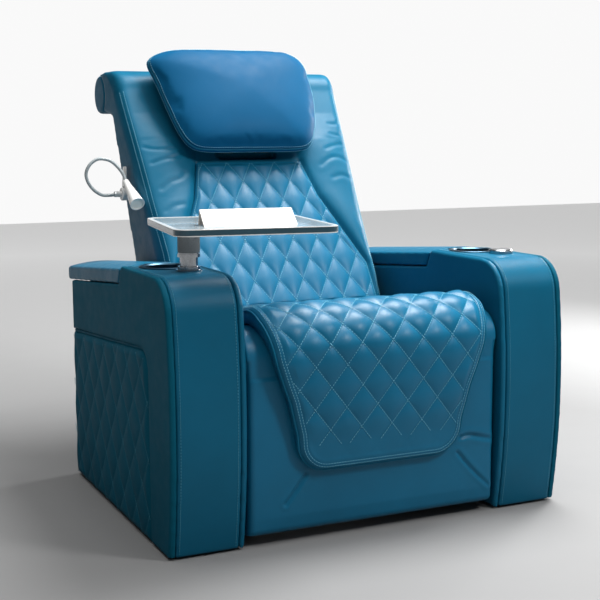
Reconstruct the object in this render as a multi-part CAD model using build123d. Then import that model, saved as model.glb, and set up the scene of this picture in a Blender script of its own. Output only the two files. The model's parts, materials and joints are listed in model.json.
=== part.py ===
from build123d import *
from math import atan2, ceil, cos, degrees, floor, radians, sin
import os

# A powered cinema recliner seat with two wide storage arms, a quilted seat and back,
# a swivel tray, a cup holder in each arm and a reading lamp on a gooseneck.
# Millimetres, +Z up. Lengths along the depth (y) are measured from the arms' front foot;
# the finished pieces are then moved so that the origin lies on the floor at the centre
# of the four floor fixings. The front of the seat faces -Y.

# ---- whole seat ----
seat_gap = 630.0            # clear width between the two arms
origin_setback = 380.0      # from the arms' front foot to the centre of the floor fixings
gap = 0.3                   # clearance between soft pieces that move past each other
fit = 0.05                  # radial clearance of a pin in its bore
cut_half = 400.0            # cutting shapes reach this far to each side ...
cut_length = 1000.0         # ... and this far along the seat

# ---- arms ----
arm_width = 170.0
arm_height = 585.0
arm_length = 722.0
arm_rear_lean = 6.0         # how far the top of the rear face stands behind its foot
foot_height = 5.0           # glides lift the upholstery off the floor
front_bow = 24.0            # the padded front swells forward
bow_share = 0.5             # height of the fullest point, as a share of the arm's height
arm_nose_radius = 80.0
fixed_top_length = 298.0    # from the front to the lid
lid_step_y = 318.0          # foot of the slanted joint in front of the lid
lid_step_drop = 42.0        # from the arm's top down to the foot of that joint
lid_rear_drop = 78.0        # and down to the rear end of the lid seat
pad_thickness = 14.0        # side pads
band_thickness = 16.0       # padded band round the front, top and rear
board_thickness = 18.0      # plywood carcass
seam_round = 4.0

# ---- quilted inset in the outer side of each arm ----
inset_front = 118.0
inset_front_drop = 157.0    # from the arm's top down to the inset's upper edge, at its front
inset_rear_drop = 206.0     # and at the arm's rear
inset_corner = 50.0
inset_joint = 2.0           # open joint round the inset
side_diamond_width = 92.0
side_diamond_height = 124.0

# ---- storage bin and its lid ----
bin_depth = 330.0
bin_wall = 3.0
bin_clear = 2.0
divider_drop = 40.0         # boards behind the lid's joint end this far below the lid seat
carcass_clear = 2.0         # between the boards and the padded band
bin_flange_start = 14.0     # behind the foot of the slanted joint
bin_flange_end = 4.0
lid_overhang = 31.0
lid_joint = 1.5
lid_edge_thickness = 34.0
lid_crown = 11.0
lid_tail_round = 9.0
lid_front_drop = 7.0        # front edge of the lid below the fixed top
lid_board_thickness = 11.0
lid_board_margin = 22.0
hinge_back = 13.0           # hinge axis behind the top of the arm's rear face
hinge_drop = 7.0            # and below the end of the lid seat
knuckle_radius = 5.0
hinge_pin_radius = 2.5
hinge_leaf = 2.0
hinge_width = 60.0
hinge_leaf_height = 28.0
hinge_shelf = 2.0           # from the axis down to the shelf that carries the knuckles
hinge_tail = 8.0            # moving leaf ends this far before the lid's tail
knuckle_clear = 1.2

# ---- cup holders and sockets in the arm tops ----
cup_to_lid = 62.0           # from a cup's middle to the end of the fixed top
cup_radius = 46.0
cup_wall = 2.0
cup_depth = 76.0
cup_rim_radius = 59.0
cup_rim_height = 3.0
cup_rim_width = 10.0
cup_foot_round = 6.0
cup_to_socket = 90.0         # from a cup's middle forward to the socket's
socket_shift = 22.0         # both sockets stand this far to the +X side of the arm's middle
socket_radius = 22.0
socket_flange_radius = 28.5
socket_flange_height = 3.0
socket_depth = 92.0
stem_radius = 15.0
stem_length = 84.0
cap_height = 8.0
cap_stem_length = 30.0

# ---- swivel tray ----
tray_width = 332.0
tray_depth = 356.0
tray_thickness = 8.0
tray_rise = 105.0           # top of the glass above the arm
tray_corner = 26.0
tray_centre_x = -284.0
tray_centre_y = 91.0
tray_yaw = -8.7
post_radius = 23.0
post_neck_radius = 19.5
collar_radius = 24.5
collar_height = 7.0
neck_height = 20.0
hub_radius = 38.0
hub_height = 7.0
spindle_radius = 9.0
spindle_length = 20.0
rest_width = 196.0
rest_depth = 62.0
rest_height = 32.0
rest_sheet = 3.0
rest_forward = 78.0         # middle of the rest in front of the tray's middle

# ---- seat ----
nose_y = 60.0               # axis of the rounded nose, also the leg rest hinge
nose_z = 405.0
nose_radius = 60.0
nose_hollow = 40.0          # free space round the hinge inside the nose
nose_open_angle = -12.0     # lower edge of the nose, below the horizontal
nose_slot_angle = 14.0      # slots for the straps and the lever end here
quilt_radius = 110.0        # outside of the quilted pad over the nose
seat_rear = 452.0
seat_side_gap = 1.5
deck_bottom = 373.0
deck_thickness = 12.0
bolster_rear_z = 417.0
quilt_rear_z = 447.0
quilt_half_nose = 272.0
quilt_half_rear = 282.0
seat_diamond_width = 72.0
seat_diamond_height = 97.0
groove_width = 8.0           # across the surface
groove_depth = 7.0
quilt_edge = 16.0

# ---- leg rest ----
leg_side_gap = 11.0
leg_bottom = 24.0
leg_top = 388.0
leg_pad = 46.0
leg_board = 15.0
leg_edge = 14.0
leg_board_top = 325.0
flap_half_top = 256.0
flap_half_low = 204.0
flap_low_z = 240.0
flap_bottom = 158.0
flap_corner = 66.0
flap_taper = 18.0           # drawn in at each side over the lowest stretch
flap_tuck = 2.0
flap_lower_thickness = 36.0
strap_x = 215.0
strap_thickness = 6.0
hub_outer = 16.0
strap_grip = 200.0          # length of a strap's flange on the board
strap_flange = 24.0
leg_tube_radius = 14.0
leg_pin_radius = 10.0
leg_pin_length = 40.0
leg_gusset = 90.0           # length of the pivot plate along the seat rail
leg_lever_x = -60.0
leg_lever_length = 70.0
leg_lever_lean = 15.0
leg_slot_near = 48.0        # slot in the lever, from the torque tube's axis
leg_slot_far = 82.0
leg_slot_half = 8.4
lever_wall = 6.0
lever_thickness = 6.0

# ---- steel base ----
base_bar_width = 50.0
base_bar_thickness = 8.0
base_bar_x = 278.0
floor_hole_spacing_y = 480.0
floor_hole_radius = 5.5
base_bar_end = 30.0
tube = 30.0
tube_wall = 2.5
upright_front_y = 205.0
upright_rear_y = 440.0
rail_height = 40.0
rail_front_y = 92.0
plate_thickness = 6.0
bolt_shank = 5.0
bolt_washer = 13.0
bolt_head = 9.0
bolt_head_height = 6.0
bolt_low_z = 90.0
bolt_high_z = 225.0
glide_radius = 14.0
glide_inset = 34.0
glide_front_y = 70.0
glide_rear_end = 60.0

# ---- backrest ----
pivot_y = 560.0
pivot_z = 370.0
back_lean = 32.0            # front face from the vertical
back_face_y = 575.0         # a point on the front face ...
back_face_z = 580.0         # ... at this height
back_half_low = 298.0       # half width at that height
back_half_top = 324.0
back_top_u = 488.0          # front face's upper end, along the slope
back_foot_radius = 98.0     # rounded foot, concentric with the recline pivot
back_crest_y = 905.0
back_crest_z = 1041.0
back_rear_top_y = 885.0
back_rear_top_z = 920.0
back_rear_slope = 16.6
back_bottom_z = 345.0
roll_y = 990.0
roll_z = 980.0
roll_radius = 52.0
roll_dish = 7.0
back_edge = 16.0
wing = 22.0
foam_thickness = 64.0
shell_thickness = 12.0
shell_drop = 22.0           # top of the rear cover below the back's rear corner
roll_cradle = 6.0           # the wedge ends this far short of the roll's axis
back_pin_radius = 8.0
back_hub_radius = 18.0
back_hub_inner_x = 238.0
member_width = 24.0
member_depth = 38.0
cross_bar_radius = 12.0
hub_rim = 4.0
lever_bore = 20.0           # half length of the bore that clears a lever from its shaft
recline_gusset = 110.0      # length of the pivot plate along the seat rail
recline_gusset_half = 14.0
recline_gusset_rise = 22.0
recline_gusset_rear = 24.0
member_lean = 30.5
member_length = 480.0
cross_bar_reach = (0, 270, 460)   # cross bars, from the pivot up along the side members
recline_lever_x = 60.0
recline_lever_length = 100.0
recline_lever_lean = 10.0
recline_slot_near = 90.5
recline_slot_far = 106.8
recline_slot_half = 6.0

# quilted panel of the backrest, measured on the front face (x, u along the slope)
panel_rise = 15.0
panel_top_u = 256.0
panel_top_half = 150.0
panel_waist_u = 150.0
panel_waist_half = 176.0
panel_low_u = -60.0
panel_low_half = 270.0
panel_foot_u = -172.0
back_diamond_width = 68.0
back_diamond_height = 116.0

# ---- head pillow ----
pillow_bottom_u = 262.0
pillow_height = 330.0
pillow_half_bottom = 184.0
pillow_half_middle = 212.0
pillow_half_top = 236.0
pillow_middle_rise = 128.0
pillow_shoulder_drop = 47.0
pillow_shoulder_width = 40.0
pillow_low_corner = 62.0
pillow_high_corner = 30.0
pillow_back_n = 6.0
pillow_depth = 102.0
head_hinge_u = 300.0
head_hinge_n = -10.0
head_bar_radius = 5.0
head_knuckle = 8.0
head_plate = 3.0
head_half = 84.0
head_bar_end = 14.0         # the bar runs on into the foam at each side
head_recess = 60.0
head_recess_depth = 24.0
head_plate_low = 14.0
head_plate_high = 150.0
head_knuckle_x = 52.0
head_knuckle_half = 20.0
head_knuckle_height = 22.0

# ---- actuators ----
actuator_tube = 18.0
rod_radius = 9.0
motor_radius = 24.0
motor_length = 96.0
gear_length = 38.0
gear_start = 20.0
eye_radius = 12.0
eye_width = 14.0
actuator_pin = 5.0
fork_reach = 41.0           # from the fork's pin to its bridge
fork_width = 26.0
fork_ear = 6.0
rod_support = 16.0          # least length of rod inside the outer tube
foot_reach = 24.0           # from a cross tube to the actuator's rear pin
recline_foot_z = 320.0
recline_travel = -60.0      # the rod draws in as the back reclines
leg_foot_z = 160.0
leg_travel = 90.6

# ---- controls and lamp ----
switch_y = 205.0
switch_share = 0.3916667    # of the way from the seat's bolsters up to the arm's top
switch_rim = 6.0            # plate round its housing
housing_floor = 3.0
switch_width = 96.0
switch_height = 40.0
switch_thickness = 4.0
button_radius = 8.0
button_spacing = 44.0
button_proud = 3.5
button_travel = 2.5
inlet_x = 120.0
inlet_z = 172.0
inlet_width = 90.0
inlet_depth = 46.0
inlet_half_height = 26.0
inlet_corner = 5.0
inlet_bore = 6.0
inlet_bore_depth = 12.0
inlet_pin = 1.5
inlet_pin_length = 8.0
lamp_base = Vector(-300.0, 782.0, 718.0)
lamp_base_radius = 17.0
lamp_base_length = 22.0
lamp_seat = 1.0             # the base stands this far off the leather at its middle
lamp_collar_length = 18.0
lamp_bend_radius = 20.0
neck_radius = 4.5
lamp_bends = ((-400, 777, 722), (-428, 770, 768), (-398, 764, 810), (-350, 757, 786))
shade_tip = Vector(-331.0, 738.0, 748.0)
shade_mouth = Vector(-326.0, 664.0, 698.0)
shade_small = 9.0
shade_large = 19.0
shade_wall = 2.5
lamp_button_radius = 5.0

bow_height = arm_height * bow_share
lid_step_z = arm_height - lid_step_drop
lid_seat_rear_z = arm_height - lid_rear_drop
inset_front_top = arm_height - inset_front_drop
inset_rear_top = arm_height - inset_rear_drop
bin_floor = arm_height - bin_depth
tray_top = arm_height + tray_rise
bolster_top = nose_z + nose_radius
switch_z = bolster_top + (arm_height - bolster_top) * switch_share
cup_setback = fixed_top_length - cup_to_lid
socket_setback = cup_setback - cup_to_socket
pillow_top_u = pillow_bottom_u + pillow_height
pillow_middle_u = pillow_bottom_u + pillow_middle_rise
pillow_shoulder_u = pillow_top_u - pillow_shoulder_drop
arm_in = seat_gap / 2
arm_out = arm_in + arm_width
arm_mid = (arm_in + arm_out) / 2
lid_slope = atan2(lid_step_z - lid_seat_rear_z, arm_length + arm_rear_lean - lid_step_y)
lean = radians(back_lean)
up_slope = Vector(0, sin(lean), cos(lean))
out_face = Vector(0, -cos(lean), sin(lean))
face_point = Vector(0, back_face_y, back_face_z)
back_plane = Plane(origin=face_point, x_dir=(1, 0, 0), z_dir=out_face)


# ---------------------------------------------------------------- plain helpers
def box(x0, x1, y0, y1, z0, z1):
    """A block between two corners."""
    size = Box(abs(x1 - x0), abs(y1 - y0), abs(z1 - z0))
    return Pos((x0 + x1) / 2, (y0 + y1) / 2, (z0 + z1) / 2) * size


def polygon(points):
    """A flat face through the points."""
    return make_face(Polyline(*points, close=True))


def across(face, x0, x1):
    """A profile drawn in (y, z), carried along X from x0 to x1."""
    return Pos(x0, 0, 0) * extrude(Plane.YZ * face, x1 - x0)


def rod_x(y, z, radius, x0, x1):
    """A round bar along X."""
    return Pos((x0 + x1) / 2, y, z) * Rot(0, 90, 0) * Cylinder(radius, abs(x1 - x0))


def rod_z(x, y, radius, z0, z1):
    """A round bar along Z."""
    return Pos(x, y, (z0 + z1) / 2) * Cylinder(radius, z1 - z0)


def bar(start, end, radius):
    """A round bar from one point to another."""
    direction = end - start
    place = Plane(origin=start, z_dir=direction)
    return place * Pos(0, 0, direction.length / 2) * Cylinder(radius, direction.length)


def turned(points, x, y):
    """A turned piece round a vertical axis at (x, y); points are (radius, z)."""
    return Pos(x, y, 0) * revolve(Plane.XZ * polygon(points), Axis.Z)


def on_back(x, u, n):
    """A point given by its place along the back's front face."""
    return face_point + Vector(x, 0, 0) + up_slope * u + out_face * n


def other_side(part):
    """The same piece on the left, where X is negative."""
    return mirror(part, about=Plane.YZ)


def both(part):
    """The piece and its left-hand twin, as separate solids."""
    return Compound(children=[part, other_side(part)])


def group(parts):
    """Several separate solids that make one sub-part."""
    return Compound(children=list(parts))


pieces = {}


def keep(name, part):
    """Store a finished piece in the seat's own frame."""
    pieces[name] = Pos(0, -origin_setback, 0) * part


# ---------------------------------------------------------------- quilting
def nose_slabs():
    """Thin slabs that carry the diamonds of the top face round the nose to the front face."""
    slope = seat_diamond_width / seat_diamond_height
    middle_y = nose_y - quilt_radius / 2
    middle_z = nose_z + quilt_radius / 2
    edge = nose_y + nose_z + quilt_radius
    drop = (edge - middle_y - middle_z) * slope
    slabs = []
    for side in (1, -1):
        steps = floor((quilt_half_nose + drop) / seat_diamond_width) + 1
        for step in range(-steps, steps + 1):
            x = step * seat_diamond_width - side * drop
            place = Plane(origin=(x, middle_y, middle_z), z_dir=(1, -side * slope, -side * slope))
            slabs.append(place * Box(2 * quilt_radius, 3 * quilt_radius, 0.7 * groove_width))
    return slabs


def front_phases(length):
    """Where the diamonds of the nose arrive on a face that starts a way below the top edge."""
    shift = length * seat_diamond_width / seat_diamond_height
    return -shift, shift


def face_grooves(plane, half, low, high, width, height, phases=(0, 0)):
    """V-shaped grooves along both diagonals of a flat face; a phase is taken at its lower edge."""
    angle = atan2(width, height)
    slope = width / height
    run = (high - low) * slope
    margin = 3 * groove_width
    length = (high - low + 2 * margin) / cos(angle)
    section = polygon([(-groove_width, groove_depth), (groove_width, groove_depth), (0, -groove_depth)])
    bars = []
    for side, phase in zip((1, -1), phases):
        first = ceil((-half - (run if side == 1 else 0) - phase) / width)
        last = floor((half + (run if side == -1 else 0) - phase) / width)
        for step in range(first, last + 1):
            x = phase + step * width - side * slope * margin
            start = Plane(origin=(x, low - margin, 0),
                          x_dir=(-cos(angle), side * sin(angle), 0),
                          z_dir=(side * sin(angle), cos(angle), 0))
            bars.append(plane * extrude(start * section, length))
    return bars


# ---------------------------------------------------------------- arms
def arm_outline(inset):
    """Side view of an arm: bowed front, rounded nose, level top, step and sloping lid seat."""
    rear_top = arm_length + arm_rear_lean - inset
    foot, top = foot_height + inset, arm_height - inset
    edges = [
        ThreePointArc((inset, foot), (inset - front_bow, bow_height), (inset + 2, top)),
        Polyline((inset + 2, top), (fixed_top_length - inset, top),
                 (lid_step_y - inset, seat_height(lid_step_y - inset, -inset)),
                 (rear_top, seat_height(rear_top, -inset)), (arm_length - inset, foot),
                 (inset, foot)),
    ]
    face = make_face(Curve() + edges)
    nose = face.vertices().sort_by_distance((inset + 2, top))[0]
    return fillet(nose, arm_nose_radius - inset)


def inset_outline(joint):
    """The quilted inset in the arm's side, open to the floor and the rear."""
    rear = arm_length + 60
    face = polygon([(inset_front + joint, -50), (inset_front + joint, inset_front_top - joint),
                    (rear, inset_rear_top - joint), (rear, -50)])
    corner = face.vertices().sort_by_distance((inset_front, inset_front_top))[0]
    return fillet(corner, inset_corner)


def side_pad(x0, x1, outer_x, outline):
    """A leather-covered side pad with softly rounded outer seams."""
    pad = across(outline, x0, x1)
    rim = pad.faces().filter_by(Axis.X).sort_by(lambda f: abs(f.center().X - outer_x))[0]
    return fillet(rim.edges(), seam_round)


def seat_height(y, n=0.0):
    """Height at y of a line n above the lid seat."""
    return lid_step_z - (y - lid_step_y) * (lid_step_z - lid_seat_rear_z) / (
        arm_length + arm_rear_lean - lid_step_y) + n / cos(lid_slope)


def arm_band(outline, x0, x1, holes):
    """The padded band: one strip up the front and along the fixed top, one on the rear."""
    ring = outline - arm_outline(band_thickness)
    front = ring & polygon([
        (-100, foot_height), (band_thickness + 8, foot_height),
        (band_thickness + 40, arm_height - 150), (band_thickness + 40, arm_height - band_thickness),
        (fixed_top_length + 2, arm_height - band_thickness), (fixed_top_length + 2, arm_height + 1),
        (-100, arm_height + 1)])
    rear = ring & polygon([(arm_length - 40, foot_height), (arm_length + 40, foot_height),
                           (arm_length + 40, seat_height(arm_length - 40) - band_thickness - 4),
                           (arm_length - 40, seat_height(arm_length - 40) - band_thickness - 4)])
    band = across(front, x0, x1)
    for x, y, radius in holes:
        band -= rod_z(x, y, radius, arm_height - 40, arm_height + 10)
    return band, across(rear, x0, x1)


def carcass(x0, x1, holes, bolts):
    """Plywood boards inside an arm, each one a separate solid."""
    inner = arm_outline(band_thickness)
    t = board_thickness
    top_z = arm_height - band_thickness
    side_in = across(inner, x0, x0 + t)
    for y, z in bolts:
        side_in -= rod_x(y, z, bolt_shank + fit, x0 - 1, x0 + t + 1)
    side_out = across(inner, x1 - t, x1)
    top = box(x0 + t, x1 - t, arm_nose_radius + 4, fixed_top_length - 2, top_z - t, top_z)
    for x, y, radius in holes:
        top -= rod_z(x, y, radius, top_z - t - 1, top_z + 1)
    near, far = band_thickness + carcass_clear, arm_length - band_thickness - carcass_clear
    front = box(x0 + t, x1 - t, near, near + t, foot_height + band_thickness,
                arm_height - arm_nose_radius)
    bottom = box(x0 + t, x1 - t, near + t, far - t, foot_height + band_thickness,
                 foot_height + band_thickness + t)
    divide = fixed_top_length - carcass_clear
    divider = box(x0 + t, x1 - t, divide, divide + t,
                  foot_height + band_thickness + t, seat_height(fixed_top_length + t, -divider_drop))
    rear = box(x0 + t, x1 - t, far - t, far,
               foot_height + band_thickness, seat_height(arm_length, -divider_drop))
    return [side_in, side_out, top, front, bottom, divider, rear]


def storage_bin(x0, x1):
    """Open-topped liner with a flange that lies on the carcass below the lid."""
    t = board_thickness
    y0 = fixed_top_length - carcass_clear + t + bin_clear
    y1 = arm_length - band_thickness - t - carcass_clear - bin_clear
    depth = -band_thickness
    wall = bin_wall
    outer = polygon([(y0, bin_floor), (y1, bin_floor), (y1, seat_height(y1, depth)),
                     (y0, seat_height(y0, depth))])
    inner = polygon([(y0 + wall, bin_floor + wall), (y1 - wall, bin_floor + wall),
                     (y1 - wall, seat_height(y1 - wall, 60)), (y0 + wall, seat_height(y0 + wall, 60))])
    low_y = lid_step_y + bin_flange_start
    high_y = arm_length - band_thickness - bin_flange_end
    flange = polygon([(low_y, seat_height(low_y, depth)), (high_y, seat_height(high_y, depth)),
                      (high_y, seat_height(high_y, depth + wall)),
                      (low_y, seat_height(low_y, depth + wall))])
    in0, in1 = x0 + t + bin_clear, x1 - t - bin_clear
    liner = across(outer, in0, in1) + across(flange, x0 + 1, x1 - 1)
    return liner - across(inner, in0 + wall, in1 - wall)


def lid_pad(x0, x1):
    """Padded lid: slanted front joint, crowned top, rounded tail that overhangs the rear."""
    tail = arm_length + arm_rear_lean + lid_overhang
    step = (fixed_top_length - lid_step_y) / (arm_height - lid_step_z)
    low_z = seat_height(lid_step_y, lid_joint)
    edge_z = arm_height - lid_front_drop
    tail_z = seat_height(tail, lid_edge_thickness)
    front_low_y = lid_step_y + step * (low_z - lid_step_z) + lid_joint
    front_y = lid_step_y + step * (edge_z - lid_step_z) + lid_joint
    rise = 2 * lid_crown
    profile = polygon([(front_low_y, low_z), (front_y + step * rise, edge_z + rise),
                       (tail, tail_z + rise), (tail, seat_height(tail, lid_joint))])
    lid = across(profile, x0, x1)
    half = (x1 - x0) / 2
    crown = make_face(Curve() + [
        ThreePointArc((-half, 0), (0, lid_crown), (half, 0)),
        Polyline((half, 0), (half + 1, -200), (-half - 1, -200), (-half, 0))])
    slope = degrees(atan2(edge_z - tail_z, tail - front_y))
    section = Plane.XZ * Pos((x0 + x1) / 2, 0) * crown
    lid &= Pos(0, front_y, edge_z) * Rot(-slope, 0, 0) * Pos(0, cut_length, 0) * extrude(section, 2 * cut_length)
    rounded = [e for e in lid.edges() if e.center().Y > tail - 2 and abs(e.center().X) > x0 + 20
               and abs(e.center().X) < x1 - 20]
    return fillet(rounded, lid_tail_round)


def lid_board(x0, x1):
    """Plywood panel under the lid that drops into the mouth of the bin."""
    y0 = lid_step_y + lid_board_margin
    y1 = arm_length - lid_board_margin - band_thickness
    low = lid_joint - lid_board_thickness
    profile = polygon([(y0, seat_height(y0, low)), (y1, seat_height(y1, low)),
                       (y1, seat_height(y1, lid_joint)), (y0, seat_height(y0, lid_joint))])
    return across(profile, x0 + lid_board_margin, x1 - lid_board_margin)


hinge_y = arm_length + arm_rear_lean + hinge_back
hinge_z = lid_seat_rear_z - hinge_drop


def lid_hinge_fixed(x_mid):
    """Leaf on the arm's rear face with two knuckles and the pin."""
    half = hinge_width / 2
    shelf = hinge_z - hinge_shelf
    reach = (shelf - foot_height) / (lid_seat_rear_z - foot_height)
    face_y = arm_length + arm_rear_lean * reach
    leaf = box(x_mid - half, x_mid + half, face_y, face_y + hinge_leaf, shelf - hinge_leaf_height, shelf)
    arm = box(x_mid - half, x_mid + half, face_y, hinge_y, shelf - hinge_leaf, shelf)
    leaf += arm
    leaf += rod_x(hinge_y, hinge_z, knuckle_radius, x_mid - half, x_mid + half)
    gap_half = half / 2 + gap
    leaf -= rod_x(hinge_y, hinge_z, knuckle_radius + knuckle_clear, x_mid - gap_half, x_mid + gap_half)
    return leaf + rod_x(hinge_y, hinge_z, hinge_pin_radius, x_mid - half, x_mid + half)


def lid_hinge_leaf(x_mid):
    """Moving leaf screwed under the lid's overhang."""
    half = hinge_width / 4
    tail = arm_length + arm_rear_lean + lid_overhang - hinge_tail
    low = lid_joint - hinge_leaf
    y0 = hinge_y
    leaf = polygon([(y0, seat_height(y0, low)), (tail, seat_height(tail, low)),
                    (tail, seat_height(tail, lid_joint)), (y0, seat_height(y0, lid_joint))])
    body = across(leaf, x_mid - half, x_mid + half)
    body += rod_x(hinge_y, hinge_z, knuckle_radius, x_mid - half, x_mid + half)
    body += box(x_mid - half, x_mid + half, hinge_y, hinge_y + knuckle_radius, hinge_z,
                seat_height(hinge_y + knuckle_radius, lid_joint))
    return body - rod_x(hinge_y, hinge_z, hinge_pin_radius + fit, x_mid - half - 1, x_mid + half + 1)


def cup_holder(x):
    """Pressed cup with a broad flat rim that lies on the arm."""
    r, w, top = cup_radius, cup_wall, arm_height + cup_rim_height
    low = arm_height - cup_depth
    foot = cup_foot_round
    return turned([(0, low), (r + w - foot, low), (r + w, low + foot), (r + w, arm_height),
                   (cup_rim_radius, arm_height), (cup_rim_radius, top - 1),
                   (cup_rim_radius - 2, top), (cup_rim_radius - cup_rim_width, top),
                   (r, arm_height + 0.5), (r, low + foot + w), (r - foot + 1, low + w), (0, low + w)],
                  x, cup_setback)


def socket(x):
    """Bush with a flange, which takes the tray post or a cap."""
    top = arm_height + socket_flange_height
    return turned([(stem_radius + fit, arm_height - socket_depth),
                   (socket_radius, arm_height - socket_depth), (socket_radius, arm_height),
                   (socket_flange_radius, arm_height), (socket_flange_radius, top),
                   (stem_radius + fit, top)], x, socket_setback)


def build_arms():
    """Both arms: the right one is modelled, and the left one is its mirror image."""
    outline = arm_outline(0)
    pad = pad_thickness
    x_in, x_out = arm_in + pad, arm_out - pad
    bolts = bolt_places()
    inner_pad = side_pad(arm_in, x_in, arm_in, outline)
    for y, z in bolts:
        inner_pad -= rod_x(y, z, bolt_shank + fit, arm_in - 1, x_in + 1)
    outer_pad = side_pad(x_out, arm_out, arm_out, outline)
    cut = Pos(x_out - 1, 0, 0) * extrude(Plane.YZ * inset_outline(0), pad + 2)
    outer_pad -= cut
    panel = across(outline & inset_outline(inset_joint), x_out, arm_out)
    plane = Plane(origin=(arm_out, 0, 0), x_dir=(0, 1, 0), z_dir=(1, 0, 0))
    middle = (inset_front + arm_length) / 2
    panel -= [Pos(0, middle, 0) * bar for bar in face_grooves(
        plane, (arm_length - inset_front) / 2, foot_height, inset_front_top,
        side_diamond_width, side_diamond_height)]
    rears, carcasses = [], []
    for side, name in ((1, "right"), (-1, "left")):
        socket_x = arm_mid + socket_shift * side
        holes = [(arm_mid, cup_setback, cup_radius + cup_wall),
                 (socket_x, socket_setback, socket_radius)]
        front, rear = arm_band(outline, x_in, x_out, holes)
        boards = carcass(x_in, x_out, holes, bolts)
        turn = (lambda part: part) if side == 1 else other_side
        keep(f"arm_outer_pad_{name}", turn(outer_pad))
        keep(f"arm_side_quilt_{name}", turn(panel))
        keep(f"arm_front_band_{name}", turn(front))
        rears.append(turn(rear))
        carcasses += [turn(board) for board in boards]
        keep(f"lid_pad_{name}", turn(lid_pad(arm_in, arm_out)))
        keep(f"lid_board_{name}", turn(lid_board(x_in, x_out)))
        keep(f"lid_hinge_leaf_{name}", turn(lid_hinge_leaf(arm_mid)))
    keep("arm_inner_pads", group([inner_pad, left_inner_pad(inner_pad)]))
    keep("arm_rear_pads", group(rears))
    keep("arm_carcasses", group(carcasses))
    keep("bin_liners", both(storage_bin(x_in, x_out)))
    keep("cup_holders", both(cup_holder(arm_mid)))
    keep("lid_hinges", both(lid_hinge_fixed(arm_mid)))
    keep("arm_sockets", group([socket(arm_mid + socket_shift), socket(-arm_mid + socket_shift)]))


def left_inner_pad(inner_pad):
    """The left arm's inner pad has a recess for the switch plate."""
    pad = other_side(inner_pad)
    recess = box(-arm_in - pad_thickness, -arm_in, switch_y - switch_width / 2,
                 switch_y + switch_width / 2, switch_z - switch_height / 2,
                 switch_z + switch_height / 2)
    return pad - recess


def bolt_places():
    """Where the steel frame is bolted to each arm, as (y, z)."""
    return [(y, z) for y in (upright_front_y, upright_rear_y) for z in (bolt_low_z, bolt_high_z)]


# ---------------------------------------------------------------- tray
def build_tray():
    """Post in the left arm's socket, swivelling glass tray and a rest for a menu or tablet."""
    x, y = -arm_mid + socket_shift, socket_setback
    base = arm_height + socket_flange_height
    z1 = base + collar_height
    z2 = z1 + neck_height
    z3 = z2 + collar_height
    z5 = tray_top - tray_thickness - hub_height
    z4 = z5 - collar_height
    keep("tray_post", turned([
        (0, base - stem_length), (stem_radius, base - stem_length), (stem_radius, base),
        (collar_radius, base), (collar_radius, z1), (post_neck_radius, z1), (post_neck_radius, z2),
        (collar_radius, z2), (collar_radius, z3), (post_radius, z3), (post_radius, z4),
        (collar_radius, z4), (collar_radius, z5), (spindle_radius + fit, z5),
        (spindle_radius + fit, z5 - spindle_length - gap), (0, z5 - spindle_length - gap)], x, y))
    low = z5 + gap
    keep("tray_hub", turned([
        (0, z5 - spindle_length), (spindle_radius, z5 - spindle_length), (spindle_radius, low),
        (hub_radius, low), (hub_radius, z5 + hub_height), (0, z5 + hub_height)], x, y))
    plate = RectangleRounded(tray_width, tray_depth, tray_corner)
    place = Pos(tray_centre_x, tray_centre_y, tray_top - tray_thickness) * Rot(0, 0, tray_yaw)
    glass = place * extrude(plate, tray_thickness)
    keep("tray_glass", chamfer(glass.faces().sort_by(Axis.Z)[-1].edges(), 1.5))
    d, h, s = rest_depth / 2, rest_height, rest_sheet
    ridge = d * 0.55
    tent = polygon([(-d, 0), (ridge, h), (d, 0), (d - s * 1.3, 0), (ridge - 0.6, h - s * 1.6),
                    (-d + s * 2.6, 0)])
    stand = across(tent, -rest_width / 2, rest_width / 2)
    keep("menu_rest", place * Pos(0, -rest_forward, tray_thickness) * stand)


def build_cap():
    """Loose cap that closes the right arm's socket."""
    x, y = arm_mid + socket_shift, socket_setback
    base = arm_height + socket_flange_height
    keep("socket_cap", turned([
        (0, base - cap_stem_length), (stem_radius, base - cap_stem_length), (stem_radius, base),
        (socket_flange_radius, base), (socket_flange_radius, base + cap_height - 3),
        (socket_flange_radius - 3, base + cap_height), (0, base + cap_height)], x, y))


# ---------------------------------------------------------------- steel base
def hollow(x0, x1, y0, y1, z0, z1, along):
    """A square tube with its bore along the named axis."""
    w = tube_wall
    inside = {"X": (x0 - 1, x1 + 1, y0 + w, y1 - w, z0 + w, z1 - w),
              "Y": (x0 + w, x1 - w, y0 - 1, y1 + 1, z0 + w, z1 - w),
              "Z": (x0 + w, x1 - w, y0 + w, y1 - w, z0 - 1, z1 + 1)}[along]
    return box(x0, x1, y0, y1, z0, z1) - box(*inside)


def cross_tube(y, z, x, side):
    """Square tube between the uprights, with a pinned bracket for an actuator's foot."""
    half = tube / 2
    beam = hollow(-rail_in, rail_in, y - half, y + half, z - half, z + half, "X")
    start = y + side * half
    end = start + side * (foot_reach + eye_radius)
    for edge in (-1, 1):
        inner = x + edge * (eye_width / 2 + 1)
        beam += box(inner, inner + edge * 4, start, end, z - eye_radius, z + eye_radius)
    return beam + rod_x(start + side * foot_reach, z, actuator_pin, x - eye_width / 2 - 5,
                        x + eye_width / 2 + 5)


rail_out = base_bar_x + tube / 2 + 7
rail_in = rail_out - tube


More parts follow.
